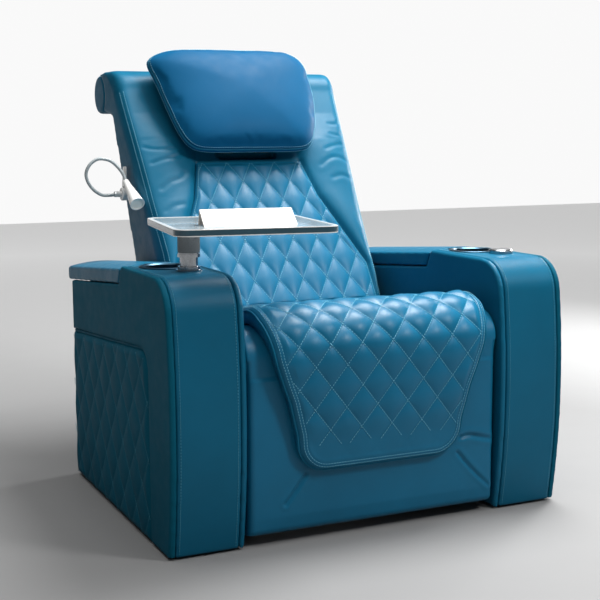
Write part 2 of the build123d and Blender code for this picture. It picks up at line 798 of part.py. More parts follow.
def build_base():
    """Floor bars, uprights, seat rails, cross tubes, arm bolts and glides."""
    half = floor_hole_spacing_y / 2
    y0, y1 = origin_setback - half, origin_setback + half
    bar_part = box(base_bar_x - base_bar_width / 2, base_bar_x + base_bar_width / 2,
                   y0 - base_bar_end, y1 + base_bar_end, 0, base_bar_thickness)
    for y in (y0, y1):
        bar_part -= rod_z(base_bar_x, y, floor_hole_radius, -1, base_bar_thickness + 1)
    keep("floor_bars", both(bar_part))
    low, high = base_bar_thickness, deck_bottom - rail_height
    posts = [hollow(rail_in, rail_out, y - tube / 2, y + tube / 2, low, high, "Z")
             for y in (upright_front_y, upright_rear_y)]
    rail = hollow(rail_in, rail_out, rail_front_y, seat_rear, high, deck_bottom, "Y")
    keep("side_frames", group(posts + [rail] + [other_side(p) for p in posts + [rail]]))
    front = cross_tube(upright_front_y, recline_foot_z, recline_lever_x, 1)
    rear = cross_tube(upright_rear_y, leg_foot_z, leg_lever_x, -1)
    keep("cross_tubes", group([front, rear]))
    bolts = []
    for y, z in bolt_places():
        bolt = rod_x(y, z, bolt_washer, rail_out, arm_in)
        bolt += rod_x(y, z, bolt_shank, arm_in, arm_in + pad_thickness + board_thickness)
        end = arm_in + pad_thickness + board_thickness
        bolts.append(bolt + rod_x(y, z, bolt_head, end, end + bolt_head_height))
    keep("arm_bolts", group(bolts + [other_side(b) for b in bolts]))
    glides = []
    for x in (arm_in + glide_inset, arm_out - glide_inset):
        for y in (glide_front_y, arm_length - glide_rear_end):
            glide = rod_z(x, y, glide_radius, 0, foot_height + band_thickness)
            glides.append(glide)
    keep("glides", group(glides + [other_side(g) for g in glides]))


# ---------------------------------------------------------------- seat
def sector(radius, inner, start, end, x0, x1):
    """Part of a ring round the nose axis; 0 degrees points forward and 90 degrees up."""
    def at(r, angle):
        a = radians(angle)
        return (nose_y - r * cos(a), nose_z + r * sin(a))
    middle = (start + end) / 2
    edges = [ThreePointArc(at(radius, start), at(radius, middle), at(radius, end)),
             Line(at(radius, end), at(inner, end)),
             ThreePointArc(at(inner, end), at(inner, middle), at(inner, start)),
             Line(at(inner, start), at(radius, start))]
    return across(make_face(Curve() + edges), x0, x1)


def seat_width_cutter():
    """Plan outline of the quilted pad on top of the seat."""
    return extrude(polygon([(-quilt_half_nose, nose_y), (-quilt_half_rear, seat_rear),
                            (quilt_half_rear, seat_rear), (quilt_half_nose, nose_y)]), cut_length)


def front_outline(top):
    """Front view of the quilted apron: wide at the nose, narrowing to a rounded lower end."""
    face = polygon([(-quilt_half_nose, top), (-flap_half_top, nose_z),
                    (-flap_half_low, flap_low_z), (-flap_half_low + flap_taper, flap_bottom),
                    (flap_half_low - flap_taper, flap_bottom), (flap_half_low, flap_low_z),
                    (flap_half_top, nose_z), (quilt_half_nose, top)])
    corners = face.vertices().sort_by(Axis.Y)[:2]
    return fillet(corners, flap_corner)


def build_seat():
    """Deck, foam with side bolsters and rounded nose, and the quilted pad on top."""
    half = arm_in - seat_side_gap
    top_z = nose_z + nose_radius
    deck_top = deck_bottom + deck_thickness
    keep("seat_deck", box(-rail_out, rail_out, nose_y + nose_hollow + 2, seat_rear, deck_bottom, deck_top))
    slab = across(polygon([(nose_y, nose_z), (nose_y, top_z), (seat_rear, bolster_rear_z),
                           (seat_rear, deck_top), (nose_y + nose_hollow - 4, deck_top)]), -half, half)
    foam = slab + sector(nose_radius, nose_hollow / 2, nose_open_angle, 90, -half, half)
    foam -= rod_x(nose_y, nose_z, nose_hollow, -half - 1, half + 1)
    for x in (-strap_x, leg_lever_x, strap_x):
        foam -= sector(nose_radius + 1, nose_hollow - 1, nose_open_angle - 5, nose_slot_angle,
                       x - strap_thickness, x + strap_thickness)
    keep("seat_foam", foam)
    quilt_top = nose_z + quilt_radius
    pad = across(polygon([(nose_y, top_z), (nose_y, quilt_top), (seat_rear, quilt_rear_z),
                          (seat_rear, bolster_rear_z)]), -arm_in, arm_in) & seat_width_cutter()
    sides = [e for e in pad.edges() if abs(e.center().X) > 200 and e.length > 300
             and e.center().Z > (top_z + bolster_rear_z) / 2 + 20]
    pad = fillet(sides, quilt_edge)
    slope = Vector(0, seat_rear - nose_y, quilt_rear_z - quilt_top)
    top = Plane(origin=(0, nose_y, quilt_top), x_dir=(1, 0, 0), z_dir=(0, -slope.Z, slope.Y))
    keep("seat_quilt", pad - face_grooves(top, quilt_half_rear, 0, slope.length,
                                          seat_diamond_width, seat_diamond_height))
    nose = sector(quilt_radius, nose_radius, 0, 90, -arm_in, arm_in)
    outline = Plane.XZ * front_outline(quilt_top)
    cutter = Pos(0, cut_length, 0) * extrude(outline, 2 * cut_length)
    nose &= cutter
    shield = rod_x(nose_y, nose_z, quilt_radius - groove_depth, -arm_in, arm_in)
    nose -= [slab - shield for slab in nose_slabs()]
    keep("nose_quilt", nose)


# ---------------------------------------------------------------- leg rest
def build_leg_rest():
    """Front panel that swings up on a torque tube, with the quilted apron on its face."""
    half = arm_in - leg_side_gap
    panel = box(-half, half, 0, leg_pad, leg_bottom, leg_top)
    rim = [e for e in panel.faces().sort_by(Axis.Y)[0].edges()]
    panel = fillet(rim, leg_edge)
    panel -= rod_x(nose_y, nose_z, nose_radius + 2 * gap, -half - 1, half + 1)
    keep("leg_panel", panel)
    keep("leg_board", box(-half + leg_edge, half - leg_edge, leg_pad, leg_pad + leg_board,
                          leg_bottom + leg_edge, leg_board_top))
    front_y = nose_y - quilt_radius
    low = flap_bottom - flap_tuck
    apron = across(polygon([(front_y, nose_z), (0, nose_z), (0, low),
                            (-flap_lower_thickness, low)]), -arm_in, arm_in)
    outline = Plane.XZ * front_outline(nose_z + quilt_radius)
    apron &= Pos(0, cut_length, 0) * extrude(outline, 2 * cut_length)
    fall = Vector(0, -flap_lower_thickness - front_y, low - nose_z)
    face = Plane(origin=(0, front_y, nose_z), x_dir=(1, 0, 0), z_dir=(0, fall.Z, -fall.Y))
    length = fall.length
    phases = front_phases(quilt_radius * 2 + length)
    keep("leg_apron", apron - face_grooves(face, flap_half_top, -length, 0,
                                           seat_diamond_width, seat_diamond_height, phases))
    torque = rod_x(nose_y, nose_z, leg_tube_radius, -strap_x + strap_thickness / 2,
                   strap_x - strap_thickness / 2)
    torque -= rod_x(nose_y, nose_z, leg_pin_radius + fit, -strap_x, strap_x)
    lever = lever_plate(nose_y, nose_z, leg_lever_lean, leg_tube_radius + 4, leg_slot_near,
                        leg_slot_far, leg_slot_half, leg_lever_x)
    lever -= rod_x(nose_y, nose_z, leg_tube_radius - 0.5, leg_lever_x - lever_bore,
                   leg_lever_x + lever_bore)
    keep("leg_frame", torque + lever + [leg_strap(x) for x in (-strap_x, strap_x)])
    plates = rail_in - plate_thickness
    pivot = across(polygon([(nose_y - 12, nose_z - 14), (rail_front_y, deck_bottom - rail_height),
                            (rail_front_y + leg_gusset, deck_bottom - rail_height),
                            (rail_front_y + leg_gusset, deck_bottom), (nose_y + 36, deck_bottom),
                            (nose_y + 12, nose_z + 8), (nose_y, nose_z + 13),
                            (nose_y - 12, nose_z + 6)]), plates, rail_in)
    pivot += rod_x(nose_y, nose_z, leg_pin_radius, strap_x - leg_pin_length, (plates + rail_in) / 2)
    keep("leg_pivots", both(pivot))


def leg_strap(x):
    """Steel strap between the torque tube and the panel's board."""
    back = leg_pad + leg_board
    y, z = nose_y, nose_z
    half = strap_thickness / 2
    profile = polygon([(y - 10, z - 12), (back, leg_board_top), (back, leg_board_top - strap_grip),
                       (back + strap_flange, leg_board_top - strap_grip),
                       (back + strap_flange, leg_board_top),
                       (y + 15, z - 4)])
    strap = across(profile, x - half, x + half) + rod_x(y, z, hub_outer, x - half, x + half)
    return strap - rod_x(y, z, leg_pin_radius + fit, x - half - 1, x + half + 1)


def lever_end(y, z, length, lean_back):
    """Free end of a lever that hangs from (y, z), leaning back by an angle."""
    a = radians(lean_back)
    return y + length * sin(a), z - length * cos(a)


def lever_plate(y, z, lean_back, root, near, far, slot_half, x):
    """Tapered lever with a slot for the actuator's pin, hanging from a shaft at (y, z)."""
    half = lever_thickness / 2
    outer = slot_half + lever_wall
    top, tip = near + slot_half, far - slot_half
    plate = across(polygon([(-root, 0), (root, 0), (outer, -tip), (-outer, -tip)]), -half, half)
    plate += rod_x(0, -tip, outer, -half, half) + rod_x(0, 0, root, -half, half)
    slot = box(-half - 1, half + 1, -slot_half, slot_half, -tip, -top)
    slot += rod_x(0, -top, slot_half, -half - 1, half + 1)
    slot += rod_x(0, -tip, slot_half, -half - 1, half + 1)
    return Pos(x, y, z) * Rot(lean_back, 0, 0) * (plate - slot)


# ---------------------------------------------------------------- backrest
def back_half(u):
    """Half width of the backrest at a place along its slope."""
    return back_half_low + (back_half_top - back_half_low) * u / back_top_u


def back_side_view():
    """Side view of the upholstered wedge, without the scroll roll."""
    slope = radians(back_rear_slope)
    top_front = face_point + up_slope * back_top_u
    touch = Vector(0, pivot_y, pivot_z) + out_face * back_foot_radius
    tangent_front = Vector(0, touch.Y, touch.Z)
    fore = Vector(0, pivot_y - back_foot_radius * cos(radians(8)),
                  pivot_z + back_foot_radius * sin(radians(8)))
    low = Vector(0, pivot_y - back_foot_radius * cos(radians(-14)),
                 pivot_z + back_foot_radius * sin(radians(-14)))
    rear_low_y = back_rear_top_y - (back_rear_top_z - back_bottom_z) * sin(slope) / cos(slope)
    edges = [
        ThreePointArc((low.Y, low.Z), (fore.Y, fore.Z), (tangent_front.Y, tangent_front.Z)),
        Line((tangent_front.Y, tangent_front.Z), (top_front.Y, top_front.Z)),
        ThreePointArc((top_front.Y, top_front.Z), (top_front.Y + 22, back_crest_z - 15),
                      (back_crest_y, back_crest_z)),
        Polyline((back_crest_y, back_crest_z), (roll_y - roll_cradle, roll_z + roll_radius + 3),
                 (roll_y - roll_cradle, roll_z), (roll_y - 40, roll_z - 46),
                 (back_rear_top_y, back_rear_top_z), (rear_low_y, back_bottom_z), (low.Y, low.Z)),
    ]
    return make_face(Curve() + edges)


def fan(extra, low_u, high_u):
    """Front view of the back, narrow at the foot and wide at the top, as a through prism."""
    slope = (back_half_top - back_half_low) / back_top_u
    low_half = back_half_low + slope * low_u + extra
    high_half = back_half_low + slope * high_u + extra
    face = polygon([(-low_half, low_u), (low_half, low_u), (high_half, high_u), (-high_half, high_u)])
    return extrude(back_plane * face, cut_length, both=True)


def build_back():
    """Wedge of foam and leather, quilted panel, rear shell, scroll roll and steel frame."""
    wedge = across(back_side_view(), -cut_half, cut_half) & fan(0, -cut_half, cut_length)
    front_edges = [e for e in wedge.edges() if abs(e.center().X) > 250 and e.length > 400
                   and abs((e.center() - face_point).dot(out_face)) < 3]
    wedge = fillet(front_edges, back_edge)
    pocket = across(polygon(pocket_points()), -cut_half, cut_half) & fan(-wing, -cut_half, cut_length)
    wedge -= pocket
    wedge -= rod_x(roll_y, roll_z, roll_radius, -cut_half, cut_half)
    wedge -= rod_x(pivot_y, pivot_z, back_pin_radius + 3, -cut_half, cut_half)
    opening = Pos(0, head_hinge_u) * Rectangle(2 * head_half + 4, head_recess)
    recess = extrude(back_plane * opening, -head_recess_depth)
    bar_ends = bar(on_back(-head_half - head_bar_end, head_hinge_u, head_hinge_n),
                   on_back(head_half + head_bar_end, head_hinge_u, head_hinge_n), head_bar_radius)
    wedge -= recess
    wedge -= bar_ends
    keep("headrest_bar", bar_ends)
    keep("back_foam", wedge)
    keep("back_quilt", back_panel())
    keep("back_shell", back_shell())
    roll = scroll_roll()
    keep("back_roll", roll)
    build_back_frame()


def pocket_points():
    """Side view of the hollow behind the foam, which holds the frame."""
    inner_low = face_point + up_slope * (-330) - out_face * foam_thickness
    inner_high = face_point + up_slope * (back_top_u - 60) - out_face * foam_thickness
    return [(inner_low.Y, inner_low.Z), (inner_high.Y, inner_high.Z),
            (back_rear_top_y + 4, back_rear_top_z - 20), (back_rear_top_y + 120, back_rear_top_z - 40),
            (back_rear_top_y + 40, 0)]


def back_shell():
    """Rear cover panel, set into the wings behind the frame."""
    slope = radians(back_rear_slope)
    drop = back_rear_top_z - shell_drop
    y_top = back_rear_top_y - shell_drop * sin(slope) / cos(slope)
    y_low = y_top - (drop - back_bottom_z) * sin(slope) / cos(slope)
    t = shell_thickness / cos(slope)
    face = polygon([(y_low, back_bottom_z), (y_top, drop), (y_top - t, drop), (y_low - t, back_bottom_z)])
    return across(face, -cut_half, cut_half) & fan(-wing - gap, -cut_half, cut_length)


def scroll_roll():
    """The padded roll along the top of the back, dished at both ends."""
    half = back_half(back_top_u + 40)
    roll = rod_x(roll_y, roll_z, roll_radius, -half, half)
    return fillet(roll.edges().filter_by(GeomType.CIRCLE), roll_dish)


def panel_face(joint):
    """Outline of the quilted panel on the back's front face."""
    half = panel_low_half - joint
    return polygon([(-panel_top_half + joint, panel_top_u - joint),
                    (-panel_waist_half + joint, panel_waist_u), (-half, panel_low_u),
                    (-half, panel_foot_u), (half, panel_foot_u), (half, panel_low_u),
                    (panel_waist_half - joint, panel_waist_u),
                    (panel_top_half - joint, panel_top_u - joint)])


def back_panel():
    """Crowned quilted pad on the front of the back."""
    pad = extrude(back_plane * panel_face(0), panel_rise)
    front = pad.faces().sort_by(lambda f: (f.center() - face_point).dot(out_face))[-1]
    pad = chamfer(front.edges(), panel_rise * 0.8)
    plane = Plane(origin=face_point + out_face * panel_rise, x_dir=(1, 0, 0), z_dir=out_face)
    return pad - face_grooves(plane, panel_low_half, panel_foot_u, panel_top_u,
                              back_diamond_width, back_diamond_height)


def build_back_frame():
    """Side members from the pivots to the head, cross tubes, lever and pivot pins."""
    inner, outer = back_hub_inner_x, back_hub_inner_x + member_width
    angle = radians(member_lean)
    direction = Vector(0, sin(angle), cos(angle))
    across_dir = Vector(0, -cos(angle), sin(angle))
    hub = Vector(0, pivot_y, pivot_z)
    top = hub + direction * member_length
    ends = [hub + across_dir * (member_depth / 2), top + across_dir * (member_depth / 2),
            top - across_dir * (member_depth / 2), hub - across_dir * (member_depth / 2)]
    member = across(polygon([(p.Y, p.Z) for p in ends]), inner, outer)
    member += rod_x(pivot_y, pivot_z, back_hub_radius + hub_rim, inner, outer)
    member -= rod_x(pivot_y, pivot_z, back_pin_radius + fit, inner - 1, outer + 1)
    frame = [member, other_side(member)]
    for reach in cross_bar_reach:
        middle = hub + direction * reach
        frame.append(rod_x(middle.Y, middle.Z, cross_bar_radius, -inner, inner))
    lever = lever_plate(pivot_y, pivot_z, recline_lever_lean, back_hub_radius, recline_slot_near,
                        recline_slot_far, recline_slot_half, recline_lever_x)
    lever -= rod_x(pivot_y, pivot_z, cross_bar_radius, recline_lever_x - lever_bore,
                   recline_lever_x + lever_bore)
    keep("back_frame", group(frame + [lever]))
    x0, x1 = rail_out, rail_out + plate_thickness
    start, low = seat_rear - recline_gusset, deck_bottom - rail_height
    high = pivot_z + recline_gusset_rise
    plate = across(polygon([(start, low), (start, deck_bottom), (seat_rear, deck_bottom),
                            (pivot_y - recline_gusset_half, high), (pivot_y + recline_gusset_half, high),
                            (pivot_y + recline_gusset_rear, pivot_z),
                            (pivot_y + 8, pivot_z - recline_gusset_rear), (seat_rear, low)]), x0, x1)
    plate += rod_x(pivot_y, pivot_z, back_pin_radius, inner, x0)
    keep("recline_pivots", both(plate))


# ---------------------------------------------------------------- head pillow
def pillow_section(inset, n):
    """One level of the pillow, parallel to the back's face."""
    points = [(-pillow_half_bottom + inset, pillow_bottom_u + inset),
              (pillow_half_bottom - inset, pillow_bottom_u + inset),
              (pillow_half_middle - inset, pillow_middle_u),
              (pillow_half_top - inset, pillow_shoulder_u),
              (pillow_half_top - pillow_shoulder_width - inset * 0.6, pillow_top_u - inset),
              (-pillow_half_top + pillow_shoulder_width + inset * 0.6, pillow_top_u - inset),
              (-pillow_half_top + inset, pillow_shoulder_u),
              (-pillow_half_middle + inset, pillow_middle_u)]
    face = polygon(points)
    corners = face.vertices().sort_by(Axis.Y)
    face = fillet(corners[:2], pillow_low_corner - inset * 0.7)
    high = face.vertices().sort_by(Axis.Y)[-4:]
    face = fillet(high, pillow_high_corner - inset * 0.4)
    return back_plane * Pos(0, 0, n) * face


def build_headrest():
    """Pillow on a hinged plate in front of the back's upper end."""
    levels = [(30, 0.0), (8, 0.2), (0, 0.45), (9, 0.72), (34, 0.93), (62, 1.0)]
    sections = [pillow_section(inset, pillow_back_n + share * pillow_depth) for inset, share in levels]
    keep("head_pillow", loft(sections))
    start = Plane(origin=on_back(0, head_hinge_u, head_hinge_n), x_dir=(1, 0, 0), z_dir=out_face)
    plate_n = pillow_back_n - head_hinge_n
    plate = start * box(-head_half, head_half, head_plate_low, head_plate_high,
                        plate_n - head_plate, plate_n)
    knuckles = []
    half = head_knuckle_half
    for x in (-head_knuckle_x, head_knuckle_x):
        knuckles.append(start * box(x - half, x + half, 0, head_knuckle_height,
                                    head_knuckle - 3, plate_n))
        knuckles.append(bar(on_back(x - half, head_hinge_u, head_hinge_n),
                            on_back(x + half, head_hinge_u, head_hinge_n), head_knuckle))
    plate += knuckles
    plate -= bar(on_back(-head_half, head_hinge_u, head_hinge_n),
                 on_back(head_half, head_hinge_u, head_hinge_n), head_bar_radius + fit)
    keep("headrest_plate", plate)


# ---------------------------------------------------------------- actuators
def actuator(foot, end, travel, x, flip, housing_name, rod_name):
    """Electric linear actuator: gearbox, motor and outer tube in one, and the push rod."""
    start = Vector(x, *foot)
    stop = Vector(x, *end)
    length = (stop - start).length
    frame = Plane(origin=start, x_dir=(flip, 0, 0), z_dir=stop - start)
    tube_end = length - fork_reach - 4 - max(0, -travel)
    gear_end = gear_start + gear_length
    inside = rod_support + max(0, travel)
    motor_y = -(actuator_tube + motor_radius + 2)
    body = box(-eye_width / 2, eye_width / 2, -eye_radius, eye_radius, 0, gear_start)
    body += rod_x(0, 0, eye_radius, -eye_width / 2, eye_width / 2)
    body += box(-motor_radius, motor_radius, motor_y - motor_radius, actuator_tube + 3,
                gear_start, gear_end)
    body += rod_z(0, 0, actuator_tube, gear_end, tube_end)
    body += rod_z(0, motor_y, motor_radius, gear_end, gear_end + motor_length)
    body -= rod_x(0, 0, actuator_pin + fit, -eye_width, eye_width)
    depth = inside + max(0, -travel) + 4
    body -= rod_z(0, 0, rod_radius + fit, tube_end - depth, tube_end + 1)
    rod = rod_z(0, 0, rod_radius, tube_end - inside, length - fork_reach)
    half, thick = fork_width / 2, rod_radius
    rod += box(-half, half, -thick, thick, length - fork_reach, length - fork_reach + fork_ear)
    for edge in (-1, 1):
        rod += box(edge * (half - fork_ear), edge * half, -thick, thick, length - fork_reach,
                   length + thick)
    rod += Pos(0, 0, length) * rod_x(0, 0, actuator_pin, -half, half)
    keep(housing_name, frame * body)
    keep(rod_name, frame * rod)


def build_actuators():
    """The recline and leg rest actuators, each pinned to a bracket on a cross tube."""
    reach = tube / 2 + foot_reach
    actuator((upright_front_y + reach, recline_foot_z),
             lever_end(pivot_y, pivot_z, recline_lever_length, recline_lever_lean),
             recline_travel, recline_lever_x, -1, "recline_motor", "recline_rod")
    actuator((upright_rear_y - reach, leg_foot_z),
             lever_end(nose_y, nose_z, leg_lever_length, leg_lever_lean),
             leg_travel, leg_lever_x, 1, "leg_motor", "leg_rod")


# ---------------------------------------------------------------- controls and inlet
def build_controls():
    """Switch plate with two buttons on the inner face of the left arm, and the power inlet."""
    x = -arm_in
    plate = box(x - switch_thickness, x, switch_y - switch_width / 2, switch_y + switch_width / 2,
                switch_z - switch_height / 2, switch_z + switch_height / 2)
    half_width, half_height = switch_width / 2 - switch_rim, switch_height / 2 - switch_rim
    housing = box(x - pad_thickness, x - switch_thickness, switch_y - half_width,
                  switch_y + half_width, switch_z - half_height, switch_z + half_height)
    body = plate + housing
    floor_x = x - pad_thickness + housing_floor
    for side in (-1, 1):
        y = switch_y + side * button_spacing / 2
        body -= rod_x(y, switch_z, button_radius + 0.1, floor_x, x + 1)
    keep("switch_plate", body)
    for name, side in (("button_recline", -1), ("button_raise", 1)):
        y = switch_y + side * button_spacing / 2
        button = rod_x(y, switch_z, button_radius, floor_x + button_travel + 0.5,
                       x + button_proud)
        cap = button.edges().filter_by(GeomType.CIRCLE).sort_by(Axis.X)[-1]
        keep(name, fillet(cap, 1.2))


def build_inlet():
    """Junction box on the rear cross tube with a round low-voltage inlet facing the rear."""
    y0 = upright_rear_y + tube / 2
    case = box(inlet_x, inlet_x + inlet_width, y0, y0 + inlet_depth, inlet_z - inlet_half_height,
               inlet_z + inlet_half_height)
    case = fillet(case.edges().filter_by(Axis.Z), inlet_corner)
    middle, face_y = inlet_x + inlet_width / 2, y0 + inlet_depth
    floor_y = face_y - inlet_bore_depth
    hole = Pos(middle, face_y, inlet_z) * Rot(90, 0, 0) * Cylinder(inlet_bore, 2 * inlet_bore_depth)
    pin = Pos(middle, floor_y + 3, inlet_z) * Rot(90, 0, 0) * Cylinder(inlet_pin, inlet_pin_length)
    keep("power_inlet", case - hole + pin)


# ---------------------------------------------------------------- lamp
def build_lamp():
    """Reading lamp: base on the side of the back, bent gooseneck, cone shade and push button."""
    u = (lamp_base - face_point).dot(up_slope)
    side_x = -back_half(u) - lamp_seat
    start = Vector(side_x, lamp_base.Y, lamp_base.Z)
    outer = start - Vector(lamp_base_length, 0, 0)
    collar_end = outer - Vector(lamp_collar_length, 0, 0)
    base = bar(start, outer, lamp_base_radius)
    rim = base.edges().filter_by(GeomType.CIRCLE).sort_by(Axis.X)[0]
    base = fillet(rim, 3) + bar(outer, collar_end, neck_radius + 3)
    middle = start - Vector(lamp_base_length / 2, 0, 0)
    floor_z = Vector(0, 0, lamp_base_radius - 9)
    crown = Vector(0, 0, lamp_base_radius + button_proud)
    base -= bar(middle + floor_z, middle + crown * 2, lamp_button_radius + 0.1)
    keep("lamp_button", bar(middle + floor_z + Vector(0, 0, button_travel + 0.5), middle + crown,
                            lamp_button_radius))
    points = [collar_end] + [Vector(*bend) for bend in lamp_bends] + [shade_tip]
    path = FilletPolyline(*points, radius=lamp_bend_radius)
    end = Plane(origin=collar_end, z_dir=points[1] - points[0])
    neck = sweep(end * Circle(neck_radius), path=path)
    keep("lamp_neck", neck)
    keep("lamp_base", base - neck)
    axis = Plane(origin=shade_tip, z_dir=shade_mouth - shade_tip)
    length = (shade_mouth - shade_tip).length
    rim = shade_large - shade_wall
    shade = axis * revolve(Plane.XZ * polygon([
        (0, -6), (shade_small, -6), (shade_small + 1, 16), (shade_large, length),
        (rim, length), (shade_small, 20), (0, 20)]), Axis.Z)
    keep("lamp_shade", shade - neck)
    step = (rim - shade_small) / (length - 20)
    lens = axis * revolve(Plane.XZ * polygon([
        (0, length - 8), (rim - 8 * step, length - 8), (rim - 3 * step, length - 3),
        (0, length - 3)]), Axis.Z)
    keep("lamp_lens", lens)


# ---------------------------------------------------------------- all together
build_arms()
build_tray()
build_cap()
build_base()
build_seat()
build_leg_rest()
build_back()
build_headrest()
build_actuators()
build_controls()
build_inlet()
build_lamp()

os.makedirs("parts", exist_ok=True)
for piece_name, piece in pieces.items():
    export_step(piece, f"parts/{piece_name}.step")
print(len(pieces), "pieces")
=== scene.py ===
import json
import math

import bmesh
import bpy
import numpy as np
from mathutils import Matrix, Vector
from mathutils.bvhtree import BVHTree

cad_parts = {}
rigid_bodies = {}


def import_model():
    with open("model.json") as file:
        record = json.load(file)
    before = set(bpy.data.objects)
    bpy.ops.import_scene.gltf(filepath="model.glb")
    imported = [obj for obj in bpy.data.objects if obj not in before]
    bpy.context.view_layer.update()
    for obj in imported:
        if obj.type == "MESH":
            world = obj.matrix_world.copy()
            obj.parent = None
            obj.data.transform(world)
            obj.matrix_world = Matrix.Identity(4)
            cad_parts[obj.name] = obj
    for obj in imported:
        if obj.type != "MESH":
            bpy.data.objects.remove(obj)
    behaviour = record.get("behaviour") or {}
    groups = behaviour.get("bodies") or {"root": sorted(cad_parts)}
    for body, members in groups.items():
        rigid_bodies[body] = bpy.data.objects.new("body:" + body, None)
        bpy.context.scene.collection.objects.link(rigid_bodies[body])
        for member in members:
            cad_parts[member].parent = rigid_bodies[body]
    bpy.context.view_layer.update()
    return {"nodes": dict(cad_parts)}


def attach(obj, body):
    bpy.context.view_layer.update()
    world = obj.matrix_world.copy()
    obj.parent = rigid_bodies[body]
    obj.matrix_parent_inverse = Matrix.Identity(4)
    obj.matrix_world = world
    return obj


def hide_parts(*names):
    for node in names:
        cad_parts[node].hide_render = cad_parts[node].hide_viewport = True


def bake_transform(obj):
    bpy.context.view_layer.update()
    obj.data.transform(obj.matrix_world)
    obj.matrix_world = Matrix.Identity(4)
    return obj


for leftover in list(bpy.data.objects):
    bpy.data.objects.remove(leftover)
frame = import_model()
nodes = frame["nodes"]

# Sizes are in millimetres in the row frame: +Z up, the seat faces -Y. The stage, the lamps and
# the camera are in metres.
MM = 0.001
TINY = 1e-9
FAR = 1e9
SIDES = (("left", -1), ("right", 1))


# ---------- mesh helpers
def new_object(name, data):
    made = bpy.data.objects.new(name, data)
    bpy.context.scene.collection.objects.link(made)
    return made


def read(mesh, key):
    flat = np.empty(len(mesh.vertices) * 3)
    mesh.vertices.foreach_get(key, flat)
    return flat.reshape(-1, 3)


def coords(mesh):
    return read(mesh, "co") / MM


def normals(mesh):
    return read(mesh, "normal")


def set_coords(mesh, co):
    mesh.vertices.foreach_set("co", (co * MM).ravel())
    mesh.update()


def push(piece, move):
    """Moves a piece's points along their normals, by one number or by one per point."""
    move = np.broadcast_to(move, len(piece.data.vertices))
    set_coords(piece.data, coords(piece.data) + normals(piece.data) * move[:, None])


def shade_smooth(mesh):
    mesh.polygons.foreach_set("use_smooth", [True] * len(mesh.polygons))


def mesh_piece(name, verts, faces, smooth=True):
    mesh = bpy.data.meshes.new(name)
    mesh.from_pydata((np.asarray(verts) * MM).tolist(), [], [tuple(f) for f in faces])
    mesh.update()
    if smooth:
        shade_smooth(mesh)
    return new_object(name, mesh)


def face_outward(piece, merge=None):
    """Turns all faces outward, after joining points closer than merge (in metres)."""
    bm = bmesh.new()
    bm.from_mesh(piece.data)
    if merge:
        bmesh.ops.remove_doubles(bm, verts=bm.verts, dist=merge)
    bmesh.ops.recalc_face_normals(bm, faces=bm.faces)
    bm.to_mesh(piece.data)
    bm.free()


def evaluated_mesh(piece):
    graph = bpy.context.evaluated_depsgraph_get()
    return bpy.data.meshes.new_from_object(piece.evaluated_get(graph))


def freeze(piece):
    """Applies the modifiers of a piece to its mesh."""
    mesh = evaluated_mesh(piece)
    piece.modifiers.clear()
    piece.data = mesh
    shade_smooth(mesh)
    return piece


def add_remesh(piece, voxel):
    remesh = piece.modifiers.new("Remesh", "REMESH")
    remesh.mode = "VOXEL"
    remesh.voxel_size = voxel * MM


def add_smoothing(piece, rounds):
    relax = piece.modifiers.new("Smooth", "SMOOTH")
    relax.factor = 0.5
    relax.iterations = rounds


def soft_copy(name, source, voxel, rounds):
    """A new piece in the place of a CAD node: even small faces with rounded edges."""
    bm = bmesh.new()
    bm.from_mesh(nodes[source].data)
    mesh = bpy.data.meshes.new(name)
    bm.to_mesh(mesh)
    bm.free()
    mesh.materials.clear()
    piece = new_object(name, mesh)
    add_remesh(piece, voxel)
    add_smoothing(piece, rounds)
    return freeze(piece)


def inflate(piece, pressure, cap, frames=20, stiffness=15.0):
    """Cloth simulation: the piece swells under its own pressure, each point by cap at most."""
    rest = coords(piece.data)
    cloth = piece.modifiers.new("Cloth", "CLOTH")
    settings = cloth.settings
    settings.quality = 4
    settings.mass = 0.3
    settings.tension_stiffness = stiffness
    settings.compression_stiffness = stiffness
    settings.use_pressure = True
    settings.uniform_pressure_force = pressure
    settings.effector_weights.gravity = 0.0
    cloth.point_cache.frame_start = 1
    cloth.point_cache.frame_end = frames
    for number in range(1, frames + 1):
        bpy.context.scene.frame_set(number)
    swollen = evaluated_mesh(piece)
    move = coords(swollen) - rest
    piece.modifiers.clear()
    bpy.data.meshes.remove(swollen)
    length = np.linalg.norm(move, axis=1, keepdims=True)
    move *= np.minimum(1.0, cap / np.maximum(length, TINY))
    set_coords(piece.data, rest + move)
    bpy.context.scene.frame_set(1)


def subdivide(piece):
    finer = piece.modifiers.new("Subdivision", "SUBSURF")
    finer.levels = 1
    finer.render_levels = 1
    freeze(piece)


# ---------- paths
MIN_POINTS = 5  # shorter runs of thread are left out
SPAN_POINTS = 12  # points of a smooth path between two given ones
RIDGE_OFF, RIDGE_WIDTH = 2.6, 1.6  # the ridge beside a crease, in widths of the crease


def unit(vectors):
    return vectors / np.maximum(np.linalg.norm(vectors, axis=-1, keepdims=True), TINY)


def lengths(path):
    """Length along a path at each of its points."""
    return np.r_[0, np.cumsum(np.linalg.norm(np.diff(path, axis=0), axis=1))]


def at_lengths(path, steps, wanted):
    return np.stack([np.interp(wanted, steps, path[:, k]) for k in range(path.shape[1])], axis=1)


def path_distance(co, path):
    """Distance of every point from a polyline."""
    best = np.full(len(co), FAR)
    path = np.asarray(path, float)
    for a, b in zip(path[:-1], path[1:]):
        d = b - a
        t = np.clip(((co - a) @ d) / max(d @ d, TINY), 0, 1)
        best = np.minimum(best, np.linalg.norm(co - (a + t[:, None] * d), axis=1))
    return best


def edge_distance(x, s, outline):
    points = np.stack([x.ravel(), s.ravel()], axis=1)
    return path_distance(points, outline).reshape(x.shape)


